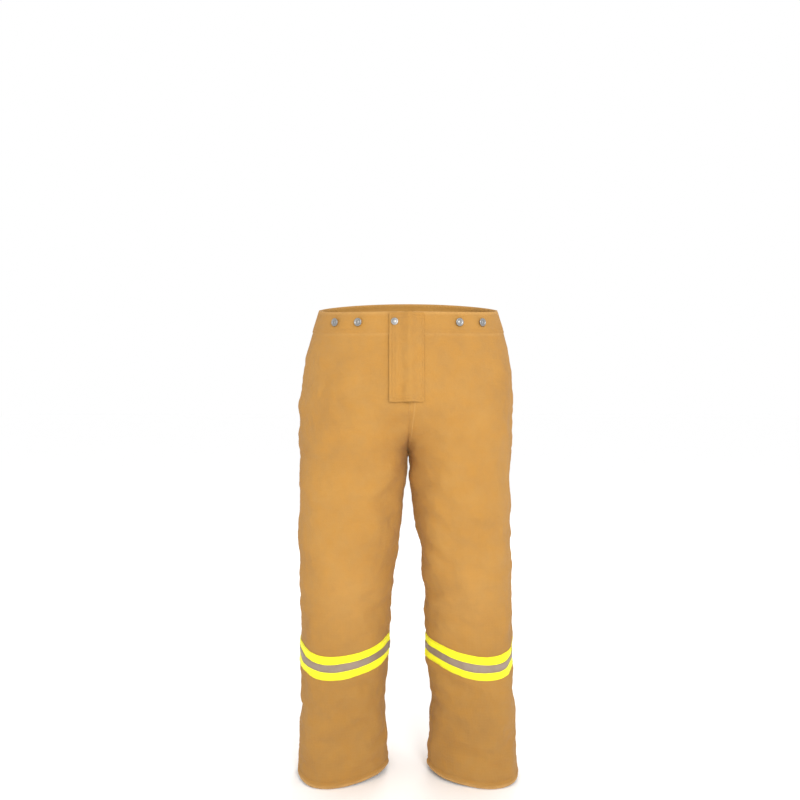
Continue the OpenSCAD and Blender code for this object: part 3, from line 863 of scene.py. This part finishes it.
def wear_mask(half):
    """1 along the edges that rub: the felled seams, the cuff's edge and the waistband's edge."""
    z = half.z[:, None]
    up = z - HEM_Z
    mask = 0.7 * bump_at(up, 0.008) + 0.3 * bump_at(z, 0.008)
    inseam = z < (FLY_BOTTOM_Z if half.side == LEFT else CROTCH_Z)
    for start, there in ((0.5, z < 1), (0.0, inseam)):
        edge = (half.t - start) * NOMINAL_GIRTH
        mask = mask + 0.3 * there * (bump_at(edge, 0.002) + bump_at(edge - SEAM_WIDTH, 0.002))
    mask = mask + 0.25 * bump_at(z + WAISTBAND, 0.002)
    knee = np.exp(-((z + 0.60) / 0.07) ** 2 - ((half.t - 0.2) / 0.09) ** 2)
    return np.clip(mask + 0.12 * knee, 0, 1)


def ring_strip(half, name, z_from, z_to, rows, lift, thick):
    """A closed ring round the leg, lying on the shell."""
    z = np.linspace(z_from, z_to, rows)[:, None]
    outer, n = half.at(z + band_shift(half.t), half.t[None, :], lift + 0 * z + 0 * half.t)
    inner = outer - n * thick
    loop = np.concatenate([outer, inner[::-1], outer[:1]])
    loop[:, -1] = loop[:, 0]
    uv = np.stack([np.broadcast_to(arc(loop, 1), loop.shape[:2]), -arc(loop, 0)], -1)
    faces = grid_faces(loop.shape[0], loop.shape[1], flip=half.side == RIGHT)
    obj = new_object(name, mirror(loop, half.side).reshape(-1, 3), faces, uv.reshape(-1, 2))
    clean(obj)
    round_edges(obj, thick * 0.3)
    return obj


def make_bands(half, name):
    bands = (("yellow", "yellow_band", "fluorescent_band", BAND_HALF, 15, 0.0012, 0.0010),
             ("silver", "silver_stripe", "reflective_stripe", STRIPE_HALF, 7, 0.0019, 0.0006))
    for material, label, node, high, rows, lift, thick in bands:
        obj = ring_strip(half, f"{name}_{label}", BAND_Z + high, BAND_Z - high, rows, lift, thick)
        finish_piece(obj, material, f"{name}_shin", f"{name}_{node}")


# ---- stitching

STITCH = 0.0031
STITCH_GAP = 0.0011
THREAD = 0.00030


def stitches(points, normal):
    """Small capsules of thread along a path, each dipping into the cloth at its ends."""
    along = np.concatenate([[0], np.cumsum(np.linalg.norm(np.diff(points, axis=0), axis=1))])
    count = int(along[-1] // (STITCH + STITCH_GAP))
    if count < 1:
        return np.zeros((0, 3)), np.zeros((0, 4), int)
    start = np.arange(count) * (STITCH + STITCH_GAP)
    rings, sides = 5, 6
    s = np.linspace(0, 1, rings)
    at = start[:, None] + s[None, :] * STITCH
    centre = np.stack([np.interp(at, along, points[:, k]) for k in range(3)], -1)
    n = np.stack([np.interp(at, along, normal[:, k]) for k in range(3)], -1)
    n /= np.linalg.norm(n, axis=-1, keepdims=True)
    tangent = np.gradient(centre, axis=1)
    tangent /= np.linalg.norm(tangent, axis=-1, keepdims=True)
    across = np.cross(tangent, n)
    arch = np.sin(math.pi * s)
    centre = centre + n * ((arch - 0.35) * THREAD * 1.6)[None, :, None]
    radius = THREAD * (0.35 + 0.65 * np.sqrt(np.clip(arch, 0, 1)))
    a = np.linspace(0, 2 * math.pi, sides, endpoint=False)
    ring = (across[:, :, None] * np.cos(a)[None, None, :, None]
            + n[:, :, None] * np.sin(a)[None, None, :, None])
    p = centre[:, :, None] + ring * radius[None, :, None, None]
    index = np.arange(count * rings * sides).reshape(count, rings, sides)
    nxt = np.roll(index, -1, axis=2)
    q = np.stack([index[:, :-1], nxt[:, :-1], nxt[:, 1:], index[:, 1:]], -1).reshape(-1, 4)
    caps = []
    for end, order in ((0, 1), (rings - 1, -1)):
        ring_index = index[:, end, ::order]
        caps.append(ring_index[:, [0, 1, 2, 3]])
        caps.append(ring_index[:, [0, 3, 4, 5]])
    return p.reshape(-1, 3), np.concatenate([q, *caps])


def seam_path(half, z_from, z_to, start, distance):
    """A path down the shell, at a distance round from a share."""
    z = np.linspace(z_from, z_to, max(int(abs(z_to - z_from) / 0.003), 2))
    return half.at(z, start + distance / NOMINAL_GIRTH)


def ring_path(half, z, t_from=0.0, lift=0.0, on_band=False):
    t = np.linspace(t_from, 1.0, 260)
    return half.at(z + band_shift(t) * on_band, t, lift)


def make_stitching(half, name):
    """Every row of thread on the shell, in one piece above the split and one below it."""
    rows = {"upper": [], "lower": []}
    for distance in (STITCH_INSET, SEAM_WIDTH - STITCH_INSET):
        rows["upper"].append(seam_path(half, -0.004, SPLIT_Z + 0.001, 0.5, distance))
        for share in (0.5, 0.0):
            rows["lower"].append(seam_path(half, SPLIT_Z - 0.001, HEM_Z + 0.004, share, distance))
        top = FLY_BOTTOM_Z - 0.008 if half.side == LEFT else CROTCH_Z
        rows["upper"].append(seam_path(half, top, SPLIT_Z + 0.001, 0.0, distance))
        if half.side == LEFT:
            rows["upper"].append(seam_path(half, -0.004, CROTCH_Z + 0.004, 1.0, -distance))
    rows["lower"].append(ring_path(half, HEM_Z + HEM_STITCH))
    for edge, lift in ((BAND_HALF - 0.0022, 0.0016), (STRIPE_HALF - 0.0016, 0.0022)):
        for z in (BAND_Z + edge, BAND_Z - edge):
            rows["lower"].append(ring_path(half, z, lift=lift, on_band=True))
    for z in (-WAISTBAND + WAIST_ROWS[0], -WAISTBAND + WAIST_ROWS[1], -0.005):
        rows["upper"].append(ring_path(half, z, FLY_SHARE + 0.01))
    for level, paths in rows.items():
        grids = [stitches(*path) for path in paths]
        obj = join_grids(f"{name}_{level}_stitching", grids, half.side)
        finish_piece(obj, "thread")
        (bend_upper if level == "upper" else bend_lower)(obj, name, half.side)


# ---- liner and facings

LINER_INSET = 0.0062
LINER_STEP = 0.005
# The liner and the waist facing stop this far from the middle of the fly
FLY_CLEAR_X = 0.037
QUILT = 0.042
QUILT_DEPTH = 0.0034
CUFF_FACING = 0.040


def liner_grid(half, z_from, z_to, t_from):
    """The liner's inner face: quilted in diamonds, and clear inside the shell."""
    rows = max(int(abs(z_to - z_from) / LINER_STEP), 2)
    heights = np.linspace(z_from, z_to, rows)
    for z in (CROTCH_Z, SPLIT_Z):
        if z_to < z < z_from:
            heights[np.argmin(np.abs(heights - z))] = z
    share = np.linspace(t_from, 1, 190)
    base, n = half.at(heights[:, None], share[None, :], -LINER_INSET)
    u, v = arc(base, 1), arc(base, 0)
    diamonds = np.sin(math.pi * ((u + v) / QUILT)) * np.sin(math.pi * ((u - v) / QUILT))
    puff = np.abs(diamonds) ** 0.5
    clear = ease((-WAISTBAND - 0.008 - heights) / 0.02)
    clear = clear * ease((heights - HEM_Z - CUFF_FACING - 0.004) / 0.02)
    return base - n * (QUILT_DEPTH * puff * clear[:, None])[..., None], 0.9 * puff


def make_liner(half, name):
    """The liner hangs inside the shell. It is seen through the waist and the hems."""
    front_gap = share_at(FLY_CLEAR_X, SEAT_ROWS[1, 1])
    hem_z = HEM_Z + CUFF_FACING - 0.006
    parts = (
        ("seat", (-WAISTBAND + 0.004, FLY_BOTTOM_Z, front_gap), -FLY_BOTTOM_Z - WAISTBAND,
         bend_upper, ["seat_liner"]),
        ("crotch", (FLY_BOTTOM_Z, SPLIT_Z, 0.0), FLY_BOTTOM_Z - SPLIT_Z,
         bend_upper, [f"{name}_groin_liner", f"{name}_thigh_liner"]),
        ("leg", (SPLIT_Z, hem_z, 0.0), SPLIT_Z - HEM_Z,
         bend_lower, [f"{name}_knee_liner", f"{name}_shin_liner"]))
    for label, place, length, bend, nodes in parts:
        grid, puff = liner_grid(half, *place)
        # The quilting's puffs are painted lighter, so its stitched lines read as painted shade
        obj = grid_object(f"{name}_{label}_liner", grid[:, ::-1], half.side, wear_and_quilt_shade=puff[:, ::-1])
        finish_piece(obj, "liner")
        bend(obj, name, half.side)
        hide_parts(*nodes)


def make_cuff_facing(half, name):
    """The cloth turned inside the cuff, with its edge sewn over the liner."""
    z = np.linspace(HEM_Z + 0.001, HEM_Z + CUFF_FACING, 10)[:, None]
    t = np.linspace(0, 1, 150)[None, :]
    inset = -0.0042 - 0.0052 * ease((z - HEM_Z - 0.010) / 0.018)
    points, _ = half.at(z, t, inset + 0 * t)
    cuff = grid_object(f"{name}_hem_facing", points, half.side, thick=-0.0010)
    finish_piece(cuff, "trim", f"{name}_shin", f"{name}_cuff_facing")


def make_waist_facing(halves):
    """The cloth turned inside the waist, from one side of the fly round to the other."""
    start = share_at(FLY_CLEAR_X, SEAT_ROWS[0, 1])
    z = np.linspace(-0.0015, -WAISTBAND, 10)[:, None]
    t = np.linspace(start, 1, 110)[None, :]
    inset = -0.0034 - 0.0050 * ease((-z - 0.006) / 0.012)
    sides = [mirror(half.at(z, t, inset + 0 * t)[0], half.side) for half in halves]
    points = np.concatenate([sides[0], sides[1][:, -2::-1]], 1)
    band = grid_object("waist_facing", points[:, ::-1], thick=-0.0010)
    finish_piece(band, "trim", "seat", "waistband_facing")


# ---- the fly

# The fly leans forward by 19 mm over its 185 mm
FLY_LEAN = math.atan(0.019 / 0.185)
FLY = Matrix.Translation((0, -0.126, 0)) @ Matrix.Rotation(-FLY_LEAN, 4, "X")
FLY_ROTATION = np.array(FLY.to_3x3())
FLY_ORIGIN = np.array(FLY.translation)


def on_fly(points):
    """From the fly's own axes, +Z up along the zip and -Y out of the cloth, to the frame's."""
    return np.asarray(points) @ FLY_ROTATION.T + FLY_ORIGIN


def fall_back(x):
    """How far the seat's front falls back from its middle."""
    return 0.132 * (1 - np.sqrt(1 - (np.asarray(x) / 0.214) ** 2))


FLAP_X = (-0.040, 0.031)
FLAP_Z = (-0.001, -0.184)
FLAP_ROWS = (0.0055, 0.0115)
FLAP_SEWN_EXTRA = 0.004


def fly_sheet(name, x_from, x_to, z_from, z_to, face, thick, columns=30, rows=60, relief=None):
    """A strip in front of or behind the zip. face is the depth of its outer face at each x."""
    x = np.linspace(x_from, x_to, columns)[None, :]
    z = np.linspace(z_from, z_to, rows)[:, None]
    depth = face(x) + 0 * z - (relief(x, z) if relief else 0)
    points = on_fly(np.stack([x + 0 * z, depth, z + 0 * x], -1))
    return grid_object(name, points, thick=thick)


def lift_of_flap(x):
    """The flap stands off the seat, arches over the zip and comes down to its sewn edge."""
    level = 0.0032 + (0.0005 - 0.0032) * ease(x / FLAP_X[1])
    arch = 0.007 * np.cos(math.pi / 2 * np.minimum(1, np.abs(x - 0.002) / 0.019)) ** 2
    return level + arch


def flap_face(x):
    return fall_back(x) - lift_of_flap(x) - 0.0032


def flap_relief(x, z):
    """The flap is drawn in along its stitching and a little uneven between."""
    edge = np.minimum(np.minimum(x - FLAP_X[0], FLAP_X[1] - x + FLAP_SEWN_EXTRA),
                      np.minimum(FLAP_Z[0] - z, z - FLAP_Z[1]))
    sewn = bump_at(edge - FLAP_ROWS[0], 0.0030) + 0.6 * bump_at(edge - FLAP_ROWS[1], 0.0030)
    box = bump_at(np.abs(x + 0.029) - 0.0095, 0.0025) * ease((-0.038 - z) / 0.004)
    return -0.0008 * sewn - 0.0005 * box + 0.0005 * waves(
        np.stack([x + 0 * z, 0 * x + 0 * z, z + 0 * x], -1), 40, 0.012, 0.05, (1, 1, 1), 77)


def make_fly():
    """The flap and its tapes, the shield behind the zip, and on each side the zip's tape and the
    turned edge of the opening."""
    tape_span = (-0.038, -0.020, -0.040, -0.168)
    parts = [
        ("storm_flap", (*FLAP_X, *FLAP_Z), flap_face, 0.0024, (72, 150, flap_relief),
         "shell", "fly_flap", ["fly_flap"], (0.076, 0.183)),
        ("zip_shield", (-0.024, 0.024, -0.002, -0.172), lambda x: fall_back(x) + 0.0078, 0.0018,
         (), "trim", "seat", ["fly_shield"], (0.049, 0.170)),
        ("flap_hook_tape", tape_span, lambda x: fall_back(x) - 0.0031, 0.0011, (),
         "hook", "fly_flap", ["fly_hook_tape"], (0.018, 0.128)),
        ("seat_loop_tape", tape_span, lambda x: fall_back(x) - 0.0017, 0.0014, (),
         "hook", "seat", ["fly_loop_tape"], (0.018, 0.128))]
    for name, side in SIDE.items():
        tape = sorted((side * 0.0019, side * 0.0139))
        edge = sorted((side * 0.0084, side * 0.021))
        parts.append((f"{name}_woven_zip_tape", (*tape, -0.004, -0.172), lambda x: 0.0035 + 0 * x,
                      0.0009, (12, 40), "zip_tape", "seat", [f"{name}_zip_tape"], (0.012, 0.168)))
        parts.append((f"{name}_fly_edge", (*edge, -0.001, -0.186), fly_edge_face, 0.0020,
                      (16, 60), "trim", "seat", [], (0.0127, 0.185)))
    for name, span, face, thick, detail, material, body, nodes, flat in parts:
        obj = fly_sheet(name, *span, face, thick, *detail)
        finish_piece(obj, material, body, *nodes)
    make_flap_stitching()


def fly_edge_face(x):
    return fall_back(x) - 0.0002 + 0.0016 * ease((np.abs(x) - 0.0088) / 0.001)


def make_flap_stitching():
    """Rows of thread round the storm flap, and one along its sewn edge."""
    lines = []
    for inset in FLAP_ROWS:
        left, right = FLAP_X[0] + inset, FLAP_X[1] + FLAP_SEWN_EXTRA - inset
        top, bottom = FLAP_Z[0] - inset, FLAP_Z[1] + inset
        corners = [(right, top), (left, top), (left, bottom), (right, bottom)]
        lines += zip(corners, corners[1:])
    lines.append(((0.0275, -0.004), (0.0275, -0.182)))
    grids = []
    s = np.linspace(0, 1, 80)[:, None]
    for a, b in lines:
        x, z = (np.array(a) * (1 - s) + np.array(b) * s).T
        path = on_fly(np.stack([x, flap_face(x) - flap_relief(x, z) - 0.0001, z], -1))
        out = np.broadcast_to(FLY_ROTATION @ np.array([0, -1, 0]), path.shape)
        grids.append(stitches(path, out))
    finish_piece(join_grids("fly_flap_stitching", grids), "thread", "fly_flap")


# ---- hardware at the waist

def lathe(profile, count=48):
    """A turned shape from (radius, height) points, about +Z."""
    profile = np.array(profile)
    a = np.linspace(0, 2 * math.pi, count, endpoint=False)
    p = np.stack([profile[:, None, 0] * np.cos(a), profile[:, None, 0] * np.sin(a),
                  profile[:, None, 1] + 0 * a], -1)
    return p.reshape(-1, 3), grid_faces(len(profile), count, flip=True, wrap=True)


def make_buttons():
    """Eight domed metal buttons, each on a shank through the waistband."""
    r = 0.0085
    profile = [(0.0001, 0.0), (0.0034, 0.0), (0.0034, 0.0046), (0.0060, 0.0050),
               (r - 0.0003, 0.0052), (r, 0.0057), (r, 0.0066), (r - 0.0007, 0.0076),
               (r - 0.0018, 0.0079), (r - 0.0026, 0.0074), (r - 0.0034, 0.0067),
               (0.0030, 0.0069), (0.0016, 0.0078), (0.0007, 0.0081), (0.0001, 0.0082)]
    shape, faces = lathe(profile)
    grids = []
    for mount in frame["record"]["mounts"]:
        if not mount["name"].endswith("brace_button"):
            continue
        axis = Vector(mount["axis"])
        turn = np.array(axis.to_track_quat("Z", "Y").to_matrix())
        head = np.array(mount["pos_m"]) - np.array(axis) * 0.007
        grids.append((shape @ turn.T + head, faces))
    obj = join_grids("brace_button_set", grids)
    finish_piece(obj, "steel", "seat", "brace_buttons")


def make_press_stud():
    """The stud's domed cap, on the storm flap."""
    x, z, r = -0.029, -0.020, 0.0075
    profile = [(r - 0.0002, -0.0006), (r, 0.0004), (r - 0.0003, 0.0011), (r - 0.0011, 0.0015),
               (r - 0.0018, 0.0013), (r - 0.0024, 0.0017), (0.0036, 0.0024), (0.0018, 0.0027),
               (0.0001, 0.0028)]
    shape, faces = lathe(profile)
    depth = flap_face(x)
    points = on_fly(np.stack([x + shape[:, 0], depth - shape[:, 2], z + shape[:, 1]], -1))
    obj = new_object("stud_cap", points, faces)
    finish_piece(obj, "steel", "fly_flap", "press_stud_cap")


STRAP_Z, STRAP_SHARE = -0.026, 0.76
STRAP_HALF = 0.0125
STRAP_ALONG = np.array([-0.854, 0.520, 0.0])
STRAP_TOP = 0.0070
SEWN_LIFT = 0.0018
BUCKLE_X = -0.018


class StrapPlace:
    """The place of one take-up strap: x along it, up to its upper edge, and out from the cloth."""

    def __init__(self, half):
        self.half = half
        origin, n = half.at(STRAP_Z, STRAP_SHARE)
        self.origin = origin
        self.along = STRAP_ALONG / np.linalg.norm(STRAP_ALONG)
        out = n - self.along * (n @ self.along)
        self.out = out / np.linalg.norm(out)
        self.up = np.cross(self.out, self.along)
        row = int(np.argmin(np.abs(half.z - STRAP_Z)))
        self.round_at = half.around[row] - np.interp(STRAP_SHARE, half.t, half.around[row])

    def flat(self, x, up, height):
        x, up, height = np.broadcast_arrays(x, up, height)
        return (self.origin + x[..., None] * self.along + up[..., None] * self.up
                + height[..., None] * self.out)

    def sewn(self, x, up, lift):
        """On the cloth itself."""
        t = np.interp(x, self.round_at, self.half.t)
        x, up, lift = np.broadcast_arrays(x, up, lift)
        return self.half.at(STRAP_Z + 0.97 * up, t, lift)[0]

    def strip(self, x_from, x_to, height, flatness, columns):
        """Webbing that is flat at a height where flatness(x) is 1, and lies on the cloth where it
        is 0."""
        x = np.linspace(x_from, x_to, columns)[None, :]
        up = np.linspace(STRAP_HALF, -STRAP_HALF, 7)[:, None]
        w = flatness(x)[..., None]
        return self.flat(x, up, height) * w + self.sewn(x, up, SEWN_LIFT) * (1 - w)

    def box(self, points, inset=0.0028):
        """A path of stitches round a strip, with its normals, inset from its edges."""
        rows, columns = points.shape[:2]
        length = np.linalg.norm(points[0, -1] - points[0, 0])
        width = np.linalg.norm(points[-1, 0] - points[0, 0])
        a, b = inset / length * (columns - 1), inset / width * (rows - 1)
        corners = [(b, a), (b, columns - 1 - a), (rows - 1 - b, columns - 1 - a), (rows - 1 - b, a),
                   (b, a), (rows - 1 - b, columns - 1 - a)]
        out = []
        for (r0, c0), (r1, c1) in zip(corners, corners[1:]):
            s = np.linspace(0, 1, 24)
            i, j = r0 + (r1 - r0) * s, c0 + (c1 - c0) * s
            path = np.stack([resample(points, [p], [q])[0, 0] for p, q in zip(i, j)])
            out.append(stitches(path + self.out * 0.0001, np.broadcast_to(self.out, path.shape)))
        return out


def rounded_rectangle(half_width, half_height, radius, steps):
    """Points round a rectangle with rounded corners, and their outward directions."""
    points, outward = [], []
    for k, corner in enumerate(((1, 1), (-1, 1), (-1, -1), (1, -1))):
        turn = np.linspace(0, math.pi / 2, steps) + k * math.pi / 2
        direction = np.stack([np.cos(turn), np.sin(turn)], -1)
        middle = np.array(corner) * (half_width - radius, half_height - radius)
        points.append(middle + radius * direction)
        outward.append(direction)
    return np.concatenate(points), np.concatenate(outward)


def rounded_frame(half_width, half_height, radius, half_depth, half_wall):
    """A rounded rectangular loop of flat bar: points (x, up, height) and faces."""
    path, outward = rounded_rectangle(half_width, half_height, radius, 7)
    bar, _ = rounded_rectangle(half_depth, half_wall, half_wall * 0.6, 4)
    flat = path[:, None] + outward[:, None] * bar[None, :, 1, None]
    x = np.broadcast_to(bar[None, :, 0, None], flat.shape[:2] + (1,))
    points = np.concatenate([x, flat], -1)
    index = np.arange(len(path) * len(bar)).reshape(len(path), len(bar))
    index = np.pad(index, (0, 1), "wrap")
    faces = np.stack([index[:-1, :-1], index[1:, :-1], index[1:, 1:], index[:-1, 1:]], -1)
    return points.reshape(-1, 3), faces.reshape(-1, 4)


def make_strap(half, name):
    """A take-up strap with its folded end and buckle, and the two webbings sewn to the
    waistband."""
    place = StrapPlace(half)
    body = f"{name}_takeup_strap"
    moving = place.strip(-0.041, 0.029, STRAP_TOP, np.ones_like, 20)
    tail = place.strip(-0.0408, -0.029, STRAP_TOP + 0.0018, np.ones_like, 6)
    anchor = place.strip(-0.062, -0.010, 0.0021, lambda x: ease((x + 0.044) / 0.016), 30)
    tab = place.strip(-0.004, 0.051, 0.0092, lambda x: 1 - ease((x - 0.029) / 0.011), 40)
    pieces = (("webbing_strap", moving, 0.0020, body, [f"{name}_takeup_strap"]),
              ("strap_tail", tail, 0.0017, body, []),
              ("sewn_anchor", anchor, 0.0015, "seat", [f"{name}_strap_anchor"]),
              ("strap_tab", tab, 0.0014, "seat", []))
    for label, points, thick, rides, nodes in pieces:
        obj = grid_object(f"{name}_{label}", points, half.side, thick=thick)
        finish_piece(obj, "webbing", rides, *nodes)
    local, faces = rounded_frame(0.0142, 0.0027, 0.0016, 0.004, 0.0011)
    points = place.flat(BUCKLE_X + local[:, 0], local[:, 1], STRAP_TOP - 0.001 + local[:, 2])
    buckle = join_grids(f"{name}_strap_buckle", [(points, faces)], half.side)
    finish_piece(buckle, "steel", "seat", f"{name}_slide_buckle")
    sewn = place.box(anchor[:, :11]) + place.box(tab[:, 30:])
    for label, grids, rides in (("strap", sewn, "seat"), ("tail", place.box(tail), body)):
        finish_piece(join_grids(f"{name}_{label}_stitching", grids, half.side), "thread", rides)


def make_cyclorama():
    """A plain pale floor."""
    size = 40.0
    floor = new_object("floor", [(-size, -size, 0), (size, -size, 0), (size, size, 0),
                                 (-size, size, 0)], [(0, 1, 2, 3)])
    floor.location.z = HEM_Z - 0.003
    s = Shader("floor")
    s.set("Base Color", (1.0, 1.0, 1.0, 1))
    s.set("Roughness", 0.95)
    s.set("Specular IOR Level", 0.1)
    floor.data.materials.append(s.material)


def area_light(name, place, target, size, power):
    data = bpy.data.lights.new(name, "AREA")
    data.shape = "SQUARE"
    data.size = size
    data.energy = power
    obj = bpy.data.objects.new(name, data)
    obj.location = place
    obj.rotation_euler = (Vector(target) - Vector(place)).to_track_quat("-Z", "Y").to_euler()
    bpy.context.scene.collection.objects.link(obj)


def make_studio():
    make_cyclorama()
    area_light("key", (0.75, -2.6, 0.7), (0, 0, -0.35), 0.8, 36)
    area_light("fill", (-0.7, -2.7, 0.3), (0, 0, -0.35), 0.8, 9)
    area_light("back", (0.4, 2.6, 1.2), (0, 0, -0.5), 1.2, 24)
    world = bpy.data.worlds.new("studio")
    world.use_nodes = True
    background = world.node_tree.nodes["Background"]
    background.inputs["Color"].default_value = (1, 1, 1, 1)
    background.inputs["Strength"].default_value = 1.0
    scene = bpy.context.scene
    scene.world = world
    scene.view_settings.view_transform = "Standard"
    scene.view_settings.look = "None"


def make_camera():
    data = bpy.data.cameras.new("camera")
    data.sensor_width = 36
    data.lens = 32.7
    data.clip_end = 100
    obj = bpy.data.objects.new("camera", data)
    obj.location = (-0.018, -1.606, -0.179)
    obj.rotation_euler = (math.radians(90), 0, 0)
    bpy.context.scene.collection.objects.link(obj)
    bpy.context.scene.camera = obj


def dress_cad(material, *nodes):
    """CAD nodes that are shown as they are get their material."""
    for name in nodes:
        obj = frame["nodes"][name]
        obj.data.materials.clear()
        obj.data.materials.append(MATERIALS[material])


MATERIALS = make_materials()
make_camera()
make_studio()
HEIGHTS, SHARES, OFFSETS = drape_offsets()
HALVES = [Half(side, HEIGHTS, SHARES, OFFSETS[i]) for i, side in enumerate(SIDE.values())]
join_centre(HALVES)
for half, name in zip(HALVES, SIDE):
    make_shell(half, name)
    make_bands(half, name)
    make_stitching(half, name)
    make_liner(half, name)
    make_cuff_facing(half, name)
make_waist_facing(HALVES)
make_fly()
make_buttons()
make_press_stud()
for half, name in zip(HALVES, SIDE):
    make_strap(half, name)
dress_cad("brass", "zip_chain", "zip_stops", "zip_slider", "zip_pull")
dress_cad("steel", "press_stud_post")
